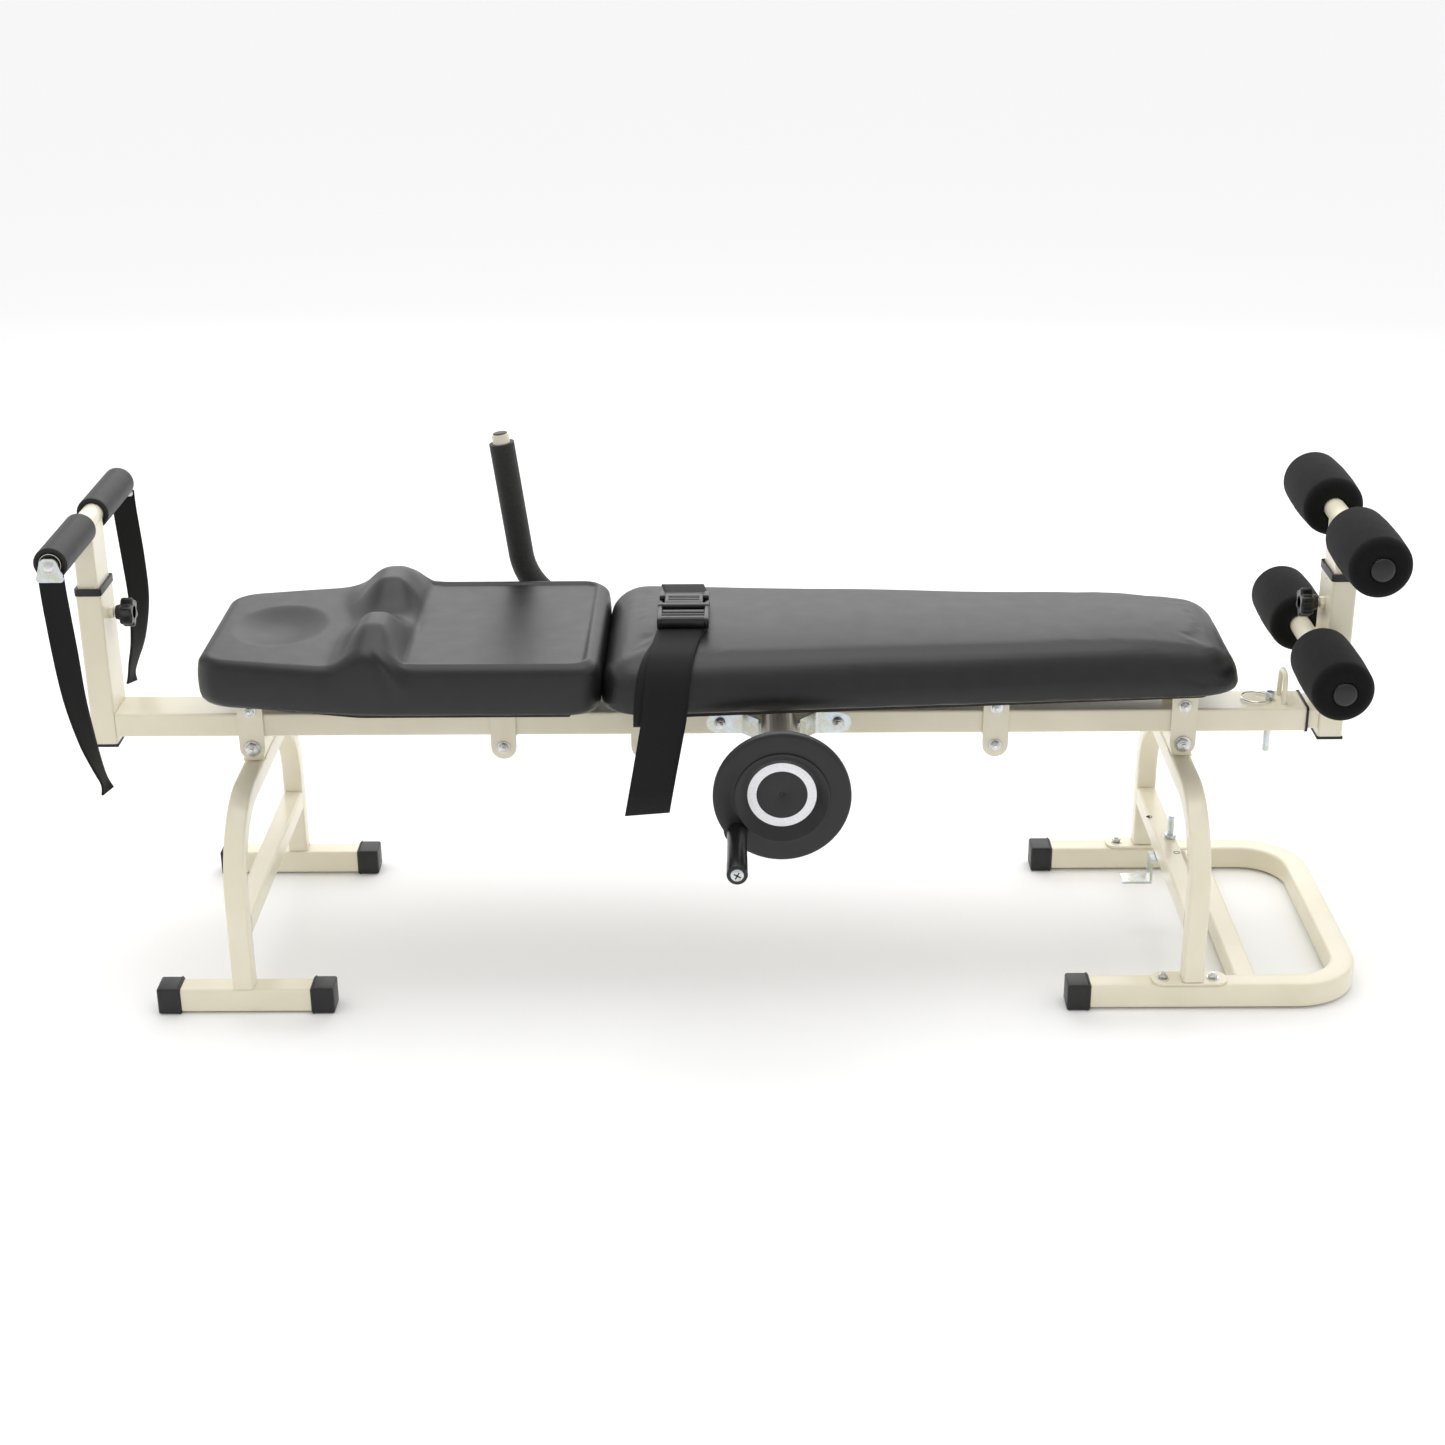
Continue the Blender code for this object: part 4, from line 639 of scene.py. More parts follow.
def starKnob(name, node, body, outward):
    # a six-lobed phenolic knob on its zinc stud, with a nut welded to the sleeve behind it
    low, high, mid = boxOf(node)
    spec = {"radius": 0.0185, "lobes": 6, "depth": 0.27, "thick": 0.0150}
    build = bmesh.new()
    head = rod(spec["radius"], spec["thick"], 0.0, 96)
    roundOver(head, flatRims(head), 0.0032, 5)
    for vert in head.verts:
        across = Vector((vert.co.x, vert.co.y))
        if across.length > 1e-6:
            angle = math.atan2(across.y, across.x)
            scale = 1 - spec["depth"] * (0.5 - 0.5 * math.cos(spec["lobes"] * angle)) ** 0.9
            vert.co.x *= scale
            vert.co.y *= scale
    inner = mid.x - outward * ((high.x - low.x) / 2)
    outer = mid.x + outward * ((high.x - low.x) / 2)
    back = Vector((outer - outward * (spec["thick"] + 0.0002), mid.y, mid.z))
    addPart(build, head, aimed(back, (outward, 0, 0)))
    button = turned([(0, 0.0009), (0.0078, 0.0009), (0.0086, 0.0003), (0.0088, -0.002), (0, -0.002)], 40)
    addPart(build, button, aimed(back + Vector((outward * (spec["thick"] - 0.0009), 0, 0)),
                                 (outward, 0, 0)))
    neck = turned([(0, -0.0065), (0.0086, -0.0065), (0.0092, -0.004), (0.0105, 0.001), (0, 0.001)], 40)
    addPart(build, neck, aimed(back, (outward, 0, 0)))
    finishPiece(name, build, glossPlastic, body, 40, (node,))
    build = bmesh.new()
    face = inner + outward * 0.0025
    addPart(build, rod(0.0038, 0.0125, 0.0005, 24), aimed(Vector((face, mid.y, mid.z)), (outward, 0, 0)))
    finishPiece(name + "_stud", build, zinc, body)


starKnob("head_star_knob", "head_knob", "head_clamp", 1)
starKnob("ankle_star_knob", "ankle_knob", "ankle_clamp", -1)
for name, node, sleeve, outward, body in (("head_knob_nut", "head_knob", "head_sleeve", 1, "frame"),
                                          ("ankle_knob_nut", "ankle_knob", "ankle_sleeve", -1,
                                           "ankle_slide")):
    low, high, mid = boxOf(node)
    faceX = boxOf("head_sleeve")[1].x if outward > 0 else boxOf("ankle_post")[2].x - 0.015
    build = bmesh.new()
    addPart(build, hexNut(0.0075, 0.0060), aimed(Vector((faceX, mid.y, mid.z)), (outward, 0, 0)))
    addPart(build, rod(0.0014, 0.0016, 0.0003, 16),
            aimed(Vector((faceX - outward * 0.0008, mid.y, mid.z + 0.031)), (outward, 0, 0)))
    finishPiece(name, build, paint, body)


print("wheel and drive")
wheelLow, wheelHigh, wheelMid = boxOf("hand_wheel")
wheelSpec = {"radius": 0.0789, "lip": 0.0535, "floor": 0.0405, "ringOut": 0.0394, "ringIn": 0.0291,
             "deep": 0.0106}
rimAt, deep = wheelSpec["radius"], wheelSpec["deep"]
wheelAt = aimed(Vector((wheelMid.x, wheelLow.y, wheelMid.z)), (0, 1, 0))
# heights are measured from the lip's face back towards the beam: hub, dish, lip, flange, rim and back
profile = [(0, deep + 0.0014), (0.0018, deep + 0.0014), (0.0030, deep + 0.0002), (0.0034, deep),
           (0.0286, deep),
           (0.0398, deep), (0.0405, deep - 0.0008), (0.0440, deep - 0.0042), (0.0480, deep - 0.0074),
           (0.0516, deep - 0.0096), (0.0530, 0.0002), (0.0538, 0.0), (0.0546, 0.0003), (0.0550, 0.0012),
           (0.0551, 0.0024), (0.0556, 0.0026), (0.0600, 0.0022), (0.0735, 0.0020), (0.0765, 0.0024),
           (0.0783, 0.0036), (rimAt, 0.0056), (rimAt, 0.0108), (0.0780, 0.0128), (0.0750, 0.0136),
           (0.0700, 0.0136), (0.0690, 0.0124), (0.0250, 0.0130), (0.0210, 0.0186), (0.0065, 0.0186)]
single("wheel_moulding", turned(profile, 96), wheelAt, wheelPlastic, "crank", 40, ("hand_wheel",))
build = bmesh.new()
ringProfile = [(wheelSpec["ringIn"], deep + 0.0003), (wheelSpec["ringIn"], deep - 0.0003),
               (wheelSpec["ringOut"], deep - 0.0003), (wheelSpec["ringOut"], deep + 0.0003),
               (wheelSpec["ringIn"], deep + 0.0003)]
addPart(build, turned(ringProfile, 96), wheelAt)
silver, silverTree, silverShader, silverPlace = newMaterial("silverFoil", Metallic=0.3, Roughness=0.34)
grainNode = addNode(silverTree, "TexNoise", {"Scale": 900.0}, {"Vector": silverPlace})
silverTree.links.new(twoTone(silverTree, grainNode.outputs["Fac"], hexColour("E6E6EA"),
                             hexColour("F8F8FA"), 0.3, 0.7),
                     silverShader.inputs["Base Color"])
finishPiece("wheel_silver_ring", build, silver, "crank")

gripLow, gripHigh, gripMid = boxOf("crank_grip")
build = bmesh.new()
length = gripHigh.y - gripLow.y
gripProfile = [(0.0044, 0.0), (0.0098, 0.0), (0.0114, 0.0008), (0.0119, 0.0026), (0.0116, 0.030),
               (0.0113, length * 0.5),
               (0.0112, length * 0.75), (0.0116, length - 0.008), (0.0119, length - 0.003),
               (0.0112, length - 0.0004), (0.0044, length), (0.0044, 0.0)]
addPart(build, turned(gripProfile, 56), aimed(Vector((gripMid.x, gripLow.y, gripMid.z)), (0, 1, 0)))
finishPiece("crank_grip_moulding", build, glossPlastic, "crank_handle", 40, ("crank_grip",))
# boss on the wheel behind the grip, and the cross-head screw that holds it
single("grip_boss", turned([(0, 0.0), (0.0135, 0.0), (0.0150, 0.0006), (0.0156, 0.004), (0, 0.004)], 48),
       aimed(Vector((gripMid.x, gripHigh.y + 0.0014, gripMid.z)), (0, 1, 0)), wheelPlastic, "crank")
screwMid = boxOf("crank_grip_screw")[2]
screwFace = gripLow.y - 0.0014
build = bmesh.new()
head = turned([(0, 0.0004), (0.0040, 0.0001), (0.0064, 0.0006), (0.0078, 0.0018), (0.0080, 0.0030),
               (0, 0.0030)], 48)
addPart(build, head, aimed(Vector((screwMid.x, screwFace, screwMid.z)), (0, 1, 0)))
addPart(build, rod(0.0040, 0.110, 0, 20), aimed(Vector((screwMid.x, screwFace + 0.002, screwMid.z)),
                                                (0, 1, 0)))
finishPiece("grip_screw_head", build, zinc, "crank", 40, ("crank_grip_screw",))
# a black cross standing just proud of the screw head is painted shade for its cross-head recess
build = bmesh.new()
for spin in (0.5, 0.5 + math.pi / 2):
    recessShadeBar = block((0.0088, 0.0013, 0.0010), 0.0, 1)
    addPart(build, recessShadeBar, aimed(Vector((screwMid.x, screwFace - 0.00002, screwMid.z)), (0, 1, 0), spin))
finishPiece("grip_screw_recess_painted_shade", build, rubberedPlastic, "crank")

# bent zinc brackets with their coach bolts
for side, sign in (("head", -1), ("foot", 1)):
    low, high, mid = boxOf(f"housing_bracket_{side}")
    faceY, nearY = high.y, low.y
    innerX = high.x if sign < 0 else low.x
    outerX = low.x if sign < 0 else high.x
    height = high.z - low.z
    thick = 0.0028
    part = bmesh.new()
    line = [Vector((outerX, faceY, 0)), Vector((innerX + sign * 0.0235, faceY, 0)),
            Vector((innerX + sign * 0.0030, faceY - 0.0225, 0)),
            Vector((innerX + sign * 0.0030, nearY, 0))]
    line = softPath(line, (0.006, 0.006), 6)
    strip = [part.verts.new((p.x, p.y, low.z)) for p in line]
    edges = [part.edges.new(pair) for pair in zip(strip, strip[1:])]
    for k in range(6):
        fresh, edges = grow(part, edges)
        bmesh.ops.translate(part, vec=(0, 0, height / 6), verts=fresh)
    for vert in part.verts:    # the ear's end is a half round
        reach = abs(vert.co.x - outerX)
        up = (vert.co.z - mid.z) / (height / 2)
        if reach < 0.001:
            vert.co.x -= sign * (1 - math.sqrt(max(0.0, 1 - up * up))) * height / 2
    bmesh.ops.recalc_face_normals(part, faces=part.faces)
    for face in part.faces:
        face.normal_update()
    lean = sum((f.normal for f in part.faces), Vector())
    if lean.y > 0:
        bmesh.ops.reverse_faces(part, faces=part.faces)
    bmesh.ops.solidify(part, geom=part.faces[:], thickness=thick)
    single(f"bracket_{side}_plate", part, None, zinc, "frame", 40, (f"housing_bracket_{side}",))
    build = bmesh.new()
    boltX = outerX - sign * 0.0165
    addPart(build, turned([(0, -0.0042), (0.003, -0.0040), (0.0058, -0.0026), (0.0066, 0.0),
                           (0.0066, 0.001), (0, 0.001)], 40),
            aimed(Vector((boltX, faceY - thick - 0.0002, mid.z)), (0, 1, 0)))
    addPart(build, hexNut(0.0052, 0.003), aimed(Vector((boltX, faceY - thick - 0.0035, mid.z)),
                                                (0, -1, 0), 0.4))
    finishPiece(f"bracket_{side}_bolt", build, steel, "frame")


print("fasteners")
for end, body in (("head", "frame"), ("foot", "frame")):
    low, high, mid = boxOf(f"{end}_pivot_bolt")
    build = bmesh.new()
    bolted(build, Vector((mid.x, midY - 0.0349, mid.z)), (0, -1, 0), 0.0086)
    bolted(build, Vector((mid.x, midY + 0.0349, mid.z)), (0, 1, 0), 0.0080)
    addPart(build, rod(0.0039, 0.0690, 0, 24), aimed(Vector((mid.x, midY - 0.0345, mid.z)), (0, 1, 0)))
    finishPiece(f"{end}_pivot_hardware", build, steel, body, 40, (f"{end}_pivot_bolt",))
boltSpec = {"upper": beamTop + 0.0055, "size": 0.0066, "reach": 0.0349}
for node, body, levels in (("head_leg_saddle", "frame", ("upper",)),
                           ("foot_leg_saddle", "frame", ("upper",)),
                           ("head_pad_saddle", "frame", ("lower",)),
                           ("carriage_saddle_foot", "carriage", ("upper", "lower")),
                           ("carriage_saddle_head", "carriage", ("lower",))):
    low, high, mid = boxOf(node)
    build = bmesh.new()
    for level in levels:
        z = boltSpec["upper"] if level == "upper" else boxOf("head_pivot_bolt")[2].z
        for sign in (-1, 1):
            bolted(build, Vector((mid.x, midY + sign * boltSpec["reach"], z)), (0, sign, 0),
                   boltSpec["size"])
    finishPiece(node + "_bolts", build, steel, body, 40)

build = bmesh.new()
plateTop = boxOf("foot_leg_arch")[0].z + 0.0031
for sign in (-1, 1):
    for x in (-0.034, 0.0255):
        bolted(build, Vector((footPivotX + x, midY + sign * 0.1875, plateTop)), (0, 0, 1), 0.0062)
finishPiece("base_plate_bolts", build, steel, "foot_leg", 40)
build = bmesh.new()
braceTop = boxOf("foot_leg_brace")[1].z
for dx, dy in ((-0.0114, 0.0855), (0.006, -0.020)):
    eye = turned([(0, -0.0004), (0.0028, -0.0004), (0.0034, 0.0003), (0.0040, 0.0)], 28)
    addPart(build, eye, aimed(Vector((footPivotX + dx, midY + dy, braceTop + 0.0002)), (0, 0, 1)))
finishPiece("brace_screws", build, glossPlastic, "foot_leg")


print("pads")


def squareToDisk(u, v):
    return u * math.sqrt(1 - v * v / 2), v * math.sqrt(1 - u * u / 2)


def easeGrid(value, power):
    return math.copysign(1 - (1 - abs(value)) ** power, value)


def smooth(value, low, high):
    t = min(1, max(0, (value - low) / (high - low)))
    return t * t * (3 - 2 * t)


def padShell(spec, halfWidth, relief):
    length = spec["x"][1] - spec["x"][0]
    a, b, r = length / 2, spec["half"], spec["corner"]
    part = bmesh.new()
    bmesh.ops.create_grid(part, x_segments=spec["grid"][0], y_segments=spec["grid"][1], size=1.0)
    for vert in part.verts:
        u, v = easeGrid(vert.co.x, 1.25), easeGrid(vert.co.y, 1.35)
        x, y = u * a, v * b
        if abs(x) > a - r and abs(y) > b - r:
            s, t = (abs(x) - (a - r)) / r, (abs(y) - (b - r)) / r
            s, t = squareToDisk(s, t)
            x = math.copysign(a - r + s * r, x)
            y = math.copysign(b - r + t * r, y)
        qx, qy = abs(x) - (a - r), abs(y) - (b - r)
        inside = r - math.hypot(max(qx, 0), max(qy, 0)) - min(max(qx, qy), 0)
        bedX = (spec["x"][0] + spec["x"][1]) / 2 + x
        wide = halfWidth(bedX)
        y *= wide / b
        edge = min(1.0, inside / spec["roll"])
        z = spec["rim"] + spec["rise"] * math.sqrt(max(0.0, 1 - (1 - edge) ** 2))
        z += relief(bedX, y, inside, wide)
        vert.co = onBed(bedX, y, z)
    # side wall down to the staple line, then tucked under
    edges = [e for e in part.edges if e.is_boundary]
    centre = onBed((spec["x"][0] + spec["x"][1]) / 2, 0, 0)
    levels = spec["wall"]
    before = 0.0
    for step, (drop, tuck) in enumerate(levels):
        fresh, nextEdges = grow(part, edges)
        for vert in fresh:
            out = Vector((vert.co.x - centre.x, vert.co.y - centre.y, 0))
            side = Vector((out.x * (b / a) ** 1.2, out.y, 0)).normalized()
            ripple = spec["ripple"] * (step / (len(levels) - 1)) ** 3
            wave = noise.noise(Vector((vert.co.x * 26, vert.co.y * 26, spec["seed"]))) * ripple
            excess = vert.co.z - (spec["rim"] - before)     # what the roll still stands above the rim here
            vert.co.z = spec["rim"] - drop + excess * spec["decay"][min(step,
                    len(spec["decay"]) - 1)] + wave
            vert.co += side * (tuck + wave * 0.4)
        before = drop
        edges = nextEdges
    bmesh.ops.holes_fill(part, edges=[e for e in part.edges if e.is_boundary])
    bmesh.ops.recalc_face_normals(part, faces=part.faces)
    return part


headPadSpec = {"x": (-0.6405, -0.1648), "half": 0.1565, "corner": 0.034, "roll": 0.0150, "rim": 0.4130,
               "rise": 0.0125, "grid": (190, 120), "ripple": 0.0024, "seed": 3.0,
               "decay": (0.92, 0.82, 0.68, 0.5, 0.2, 0.0),
               "wall": ((0.0025, 0.0004), (0.008, 0.0008), (0.016, 0.0006), (0.026, 0.0),
                        (0.036, -0.0006),
                        (0.0425, -0.0016), (0.0470, -0.0036), (0.0482, -0.0080), (0.0484, -0.0130))}
hump = {"x": -0.4285, "tall": 0.0365, "reach": 0.0305, "power": 2.8, "lip": 0.064, "dish": 0.0275,
        "shoulder": 0.096}
dent = {"x": -0.558, "a": 0.0585, "b": 0.072, "deep": 0.0100}


def headHalf(x):
    table = ((-0.650, 0.114), (-0.600, 0.1265), (-0.545, 0.1385), (-0.490, 0.1490), (-0.450, 0.1540),
             (-0.410, 0.1565), (-0.160, 0.1565))
    for (x0, w0), (x1, w1) in zip(table, table[1:]):
        if x <= x1:
            return w0 + (w1 - w0) * max(0.0, (x - x0) / (x1 - x0))
    return table[-1][1]


def headRelief(x, y, inside, wide):
    # the neck roll crosses the pad from side to side, dished in the middle, and droops at its two ends
    reach = hump["reach"] + (0.004 + 0.010 * smooth(y, 0.0, 0.12) if x < hump["x"] else 0.0)
    ridge = math.exp(-((abs(x - hump["x"]) / reach) ** hump["power"]))
    dish = (1 - smooth(abs(y), 0.0, hump["lip"])) ** 0.8
    droop = smooth(abs(y), hump["shoulder"], wide + 0.012)
    z = ridge * (hump["tall"] - hump["dish"] * dish - 0.021 * droop)
    # the head's dent, a smooth bowl
    q = math.sqrt(((x - dent["x"]) / dent["a"]) ** 2 + (y / dent["b"]) ** 2)
    z -= dent["deep"] * max(0.0, 1 - q * q) ** 1.35
    z -= 0.0030 * smooth(-x, 0.440, 0.480)
    # the flat body panel lies a little low inside a soft raised border, and a groove parts it from the roll
    panel = smooth(x, -0.400, -0.384) * smooth(inside, 0.0125, 0.0215)
    border = smooth(x, -0.400, -0.380) * math.exp(-(((inside - 0.0135) / 0.0045) ** 2))
    z += 0.0014 * border - 0.0020 * panel
    z -= 0.0024 * math.exp(-(((x + 0.3905) / 0.0050) ** 2)) * smooth(inside, 0.004, 0.02)
    return z


def sideCrease(x, z):
    # under each end of the roll the side wall swells, then folds in along a slanting crease
    middle = -0.3925 + (0.403 - z) * 0.68
    fold = -0.0048 * math.exp(-(((x - middle) / 0.0075) ** 2)) * smooth(z, 0.392, 0.408)
    swell = 0.0026 * math.exp(-(((x + 0.430) / 0.024) ** 2)) * smooth(z, 0.372, 0.405)
    return fold + swell


bodyPadSpec = {"x": (-0.1632, 0.5885), "half": 0.1630, "corner": 0.048, "roll": 0.036, "rim": 0.3900,
               "rise": 0.0320,
               "grid": (170, 84), "ripple": 0.0012, "seed": 8.0, "decay": (0.8, 0.5, 0.2, 0.0),
               "wall": ((0.004, 0.0006), (0.009, 0.0006), (0.014, 0.0), (0.019, -0.0010),
                        (0.0230, -0.0026), (0.0250, -0.0060), (0.0253, -0.012))}


def bodyHalf(x):
    t = (x + 0.160) / 0.750
    return 0.1625 - 0.0550 * max(0.0, t) ** 1.05


def bodyRelief(x, y, inside, wide):
    crown = 0.0120 * (1 - (y / wide) ** 2) * smooth(inside, -0.01, 0.05)
    soft = 0.0012 * noise.noise(Vector((x * 7, y * 9, 1.5)))
    foot = -0.009 * smooth(x, 0.44, 0.60)
    return crown + soft + foot


def inflated(piece, cap, pressure, voxel, frames=20):
    # the cover swells against its edges for a moment, and no point may move further than the cap
    scene = bpy.context.scene
    mesh = piece.data
    remesh = piece.modifiers.new("even", "REMESH")
    remesh.mode = "VOXEL"
    remesh.voxel_size = voxel
    remesh.use_smooth_shade = True
    graph = bpy.context.evaluated_depsgraph_get()
    even = bpy.data.meshes.new_from_object(piece.evaluated_get(graph))
    piece.modifiers.remove(remesh)
    piece.data = even
    start = [v.co.copy() for v in even.vertices]
    pins = piece.vertex_groups.new(name="pins")
    floor = min(v.co.z for v in even.vertices) + 0.006
    pins.add([v.index for v in even.vertices if v.co.z < floor], 1.0, "REPLACE")
    cloth = piece.modifiers.new("swell", "CLOTH")
    cloth.settings.use_pressure = True
    cloth.settings.uniform_pressure_force = pressure
    cloth.settings.effector_weights.gravity = 0
    cloth.settings.vertex_group_mass = "pins"
    cloth.settings.tension_stiffness = 30
    cloth.settings.compression_stiffness = 30
    cloth.point_cache.frame_start, cloth.point_cache.frame_end = 1, frames
    for step in range(1, frames + 1):
        scene.frame_set(step)
    graph = bpy.context.evaluated_depsgraph_get()
    swollen = bpy.data.meshes.new_from_object(piece.evaluated_get(graph))
    piece.modifiers.remove(cloth)
    for vert, before in zip(swollen.vertices, start):
        move = vert.co - before
        if move.length > cap:
            vert.co = before + move.normalized() * cap
    material = mesh.materials[0]
    piece.data = swollen
    if not swollen.materials:
        swollen.materials.append(material)
    swollen.shade_smooth()
    scene.frame_set(1)
    rounder = piece.modifiers.new("rounder", "SUBSURF")
    rounder.levels = rounder.render_levels = 1


part = padShell(headPadSpec, headHalf, headRelief)
for vert in part.verts:
    bedX, y = vert.co.x - midX, vert.co.y - midY
    nearWall = smooth(abs(y), headHalf(bedX) - 0.016, headHalf(bedX) - 0.002)
    vert.co.y += math.copysign(sideCrease(bedX, vert.co.z) * nearWall, y)
headPad = finishPiece("head_pad_cover", part, vinyl, "frame", 80, ("head_pad",))
part = padShell(bodyPadSpec, bodyHalf, bodyRelief)
bodyPad = finishPiece("body_pad_cover", part, vinyl, "carriage", 80, ("body_pad",))
inflated(bodyPad, 0.0010, 1.5, 0.0045)


print("webbing")


def ribbon(name, path, width, thickness, body, instead=(), taper=None, columns=8):
    # path holds (centre, across) pairs; the weave attribute carries the cloth's own width and length
    build = bmesh.new()
    weave = build.verts.layers.float_vector.new("weave")
    centre, across = path[0]
    across = across.normalized()
    row = []
    for c in range(columns + 1):
        share = c / columns - 0.5
        vert = build.verts.new(centre + across * width * share)
        vert[weave] = (width * share, 0, 0)
        row.append(vert)
    edges = [build.edges.new(pair) for pair in zip(row, row[1:])]
    travelled = 0.0
    for k in range(1, len(path)):
        centre, across = path[k]
        across = across.normalized()
        travelled += (centre - path[k - 1][0]).length
        fresh, edges = grow(build, edges)
        narrow = taper(k / (len(path) - 1)) if taper else 1.0
        for old, new in zip(row, sorted(fresh,
                                        key=lambda v: min(range(len(row)),
                                                          key=lambda n: (row[n].co - v.co).length))):
            share = row.index(old) / columns - 0.5
            new.co = centre + across * width * share * narrow
            new[weave] = (width * share, travelled, 0)
        row = sorted(fresh, key=lambda v: v[weave].x)
    mesh = bpy.data.meshes.new(name)
    bmesh.ops.recalc_face_normals(build, faces=build.faces)
    build.to_mesh(mesh)
    build.free()
    mesh.shade_smooth()
    mesh.materials.append(webbing)
    piece = bpy.data.objects.new(name, mesh)
    bpy.context.scene.collection.objects.link(piece)
    wall = piece.modifiers.new("thickness", "SOLIDIFY")
    wall.thickness = thickness
    wall.offset = 0
    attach(piece, body)
    if instead:
        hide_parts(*instead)
    return piece, travelled


def smoothPath(knots, count):
    # Catmull-Rom through (centre, across) knots
    result = []
    spans = len(knots) - 1
    for k in range(count + 1):
        at = k / count * spans
        i = min(int(at), spans - 1)
        t = at - i
        p = [knots[max(0, min(spans, i + d))] for d in (-1, 0, 1, 2)]
        pair = []
        for which in (0, 1):
            a, b, c, d = (Vector(q[which]) for q in p)
            pair.append(0.5 * (2 * b + (c - a) * t + (2 * a - 5 * b + 4 * c - d) * t * t +
                               (3 * b - a - 3 * c + d) * t * t * t))
        result.append(tuple(pair))
    return result


barLow, barHigh, barMid = boxOf("head_post")
strapSpec = {"width": 0.029, "thick": 0.0022}
barMidZ = barHigh.z - 0.0127
for side, sign in (("near", -1), ("far", 1)):
    low, high, mid = boxOf(f"strap_plate_{side}")
    y = (low.y + high.y) / 2 + sign * 0.0005 - midY
    if sign < 0:
        knots = [((-0.7790, y, 0.5440), (1, 0.05, 0)), ((-0.7780, y, 0.515), (1, 0.15, 0.1)),
                 ((-0.7735, y - 0.001, 0.450), (0.86, 0.5, 0.1)),
                 ((-0.7690, y - 0.001, 0.394), (0.62, 0.78, 0.1)),
                 ((-0.7610, y, 0.344), (0.34, 0.94, 0.1)), ((-0.7525, y, 0.310), (0.10, 0.99, 0.05)),
                 ((-0.7465, y, 0.290), (0.04, 0.99, 0.0)), ((-0.7440, y, 0.277), (0.42, 0.9, 0.1))]
    else:
        knots = [((-0.7780, y, 0.5440), (1, 0, 0)), ((-0.7775, y, 0.515), (1, 0.1, 0)),
                 ((-0.7740, y + 0.001, 0.450), (0.85, 0.5, 0)), ((-0.7725, y, 0.396), (0.7, 0.7, 0.1)),
                 ((-0.7790, y, 0.345), (0.4, 0.9, -0.1)), ((-0.7885, y, 0.312), (0.2, 0.95, -0.1)),
                 ((-0.7925, y, 0.296), (0.15, 0.95, -0.1)), ((-0.7935, y, 0.284), (0.35, 0.8, -0.1))]
    knots = [(onBed(*c), Vector(a)) for c, a in knots]
    path = smoothPath(knots, 60)
    drawnIn = lambda t: 1 - 0.28 * smooth(t, 0.55, 0.95)   # the frayed end curls in along its length
    piece, length = ribbon(f"hand_strap_{side}_web", path, strapSpec["width"], strapSpec["thick"],
                           f"strap_{side}", (f"hand_strap_{side}",), drawnIn)
    build = bmesh.new()
    plate = bmesh.new()
    bmesh.ops.create_grid(plate, x_segments=1, y_segments=1, size=0.5)
    bmesh.ops.scale(plate, vec=(0.034, 0.028, 1), verts=plate.verts)
    for vert in plate.verts:
        vert.co.x *= 0.52 if vert.co.y > 0 else 1.0
    bmesh.ops.bevel(plate, geom=plate.verts[:], offset=0.0055, offset_type="OFFSET", segments=5,
                    profile=0.5, affect="VERTICES", material=-1)
    grown = bmesh.ops.extrude_face_region(plate, geom=plate.faces[:])["geom"]
    bmesh.ops.translate(plate, vec=(0, 0, 0.0028),
                        verts=[g for g in grown if isinstance(g, bmesh.types.BMVert)])
    bmesh.ops.recalc_face_normals(plate, faces=plate.faces)
    addPart(build, plate, Matrix.Translation((mid.x, low.y + 0.0029,
                                              barMidZ - 0.0052)) @ Matrix.Rotation(math.pi / 2, 4, "X"))
    finishPiece(f"strap_plate_{side}_pressing", build, zinc, f"strap_{side}", 40,
                (f"strap_plate_{side}",))
    build = bmesh.new()
    face = low.y if sign < 0 else high.y
    addPart(build, turned([(0, 0.0036), (0.0030, 0.0034), (0.0062, 0.0020), (0.0076, 0.0), (0, 0.0)], 40),
            aimed(Vector((mid.x, face - sign * 0.0006, barMidZ)), (0, sign, 0)))
    finishPiece(f"strap_bolt_{side}_head", build, steel, f"strap_{side}")
    build = bmesh.new()    # the black plug in the bar's end, behind the plate
    barEnd = barLow.y if sign < 0 else barHigh.y
    addPart(build, turned([(0, 0.0008), (0.0118, 0.0008), (0.0126, 0.0002), (0.0129, -0.0006),
                           (0.0129, -0.0030), (0, -0.0030)], 40),
            aimed(Vector((mid.x, barEnd - sign * 0.0006, barMidZ)), (0, sign, 0)))
    finishPiece(f"bar_plug_{side}", build, rubberedPlastic, "head_bar")

beltSpec = {"width": 0.052, "thick": 0.0018}
beltAt = -0.069
underZ = boxOf("body_pad_board")[0].z - 0.0018
x = beltAt


def padTop(bedX, y):
    wide = bodyHalf(bedX)
    inside = wide - abs(y)
    edge = min(1.0, max(0.0, inside / bodyPadSpec["roll"]))
    z = bodyPadSpec["rim"] + bodyPadSpec["rise"] * math.sqrt(max(0.0, 1 - (1 - edge) ** 2))
    return z + bodyRelief(bedX, y, inside, wide)


def overPad(lift, start, end, count, xAt):
    points = []
    for k in range(count + 1):
        y = start + (end - start) * k / count
        points.append((onBed(xAt(y), y, padTop(xAt(y), y) + lift), Vector((1, 0, 0))))
    return points


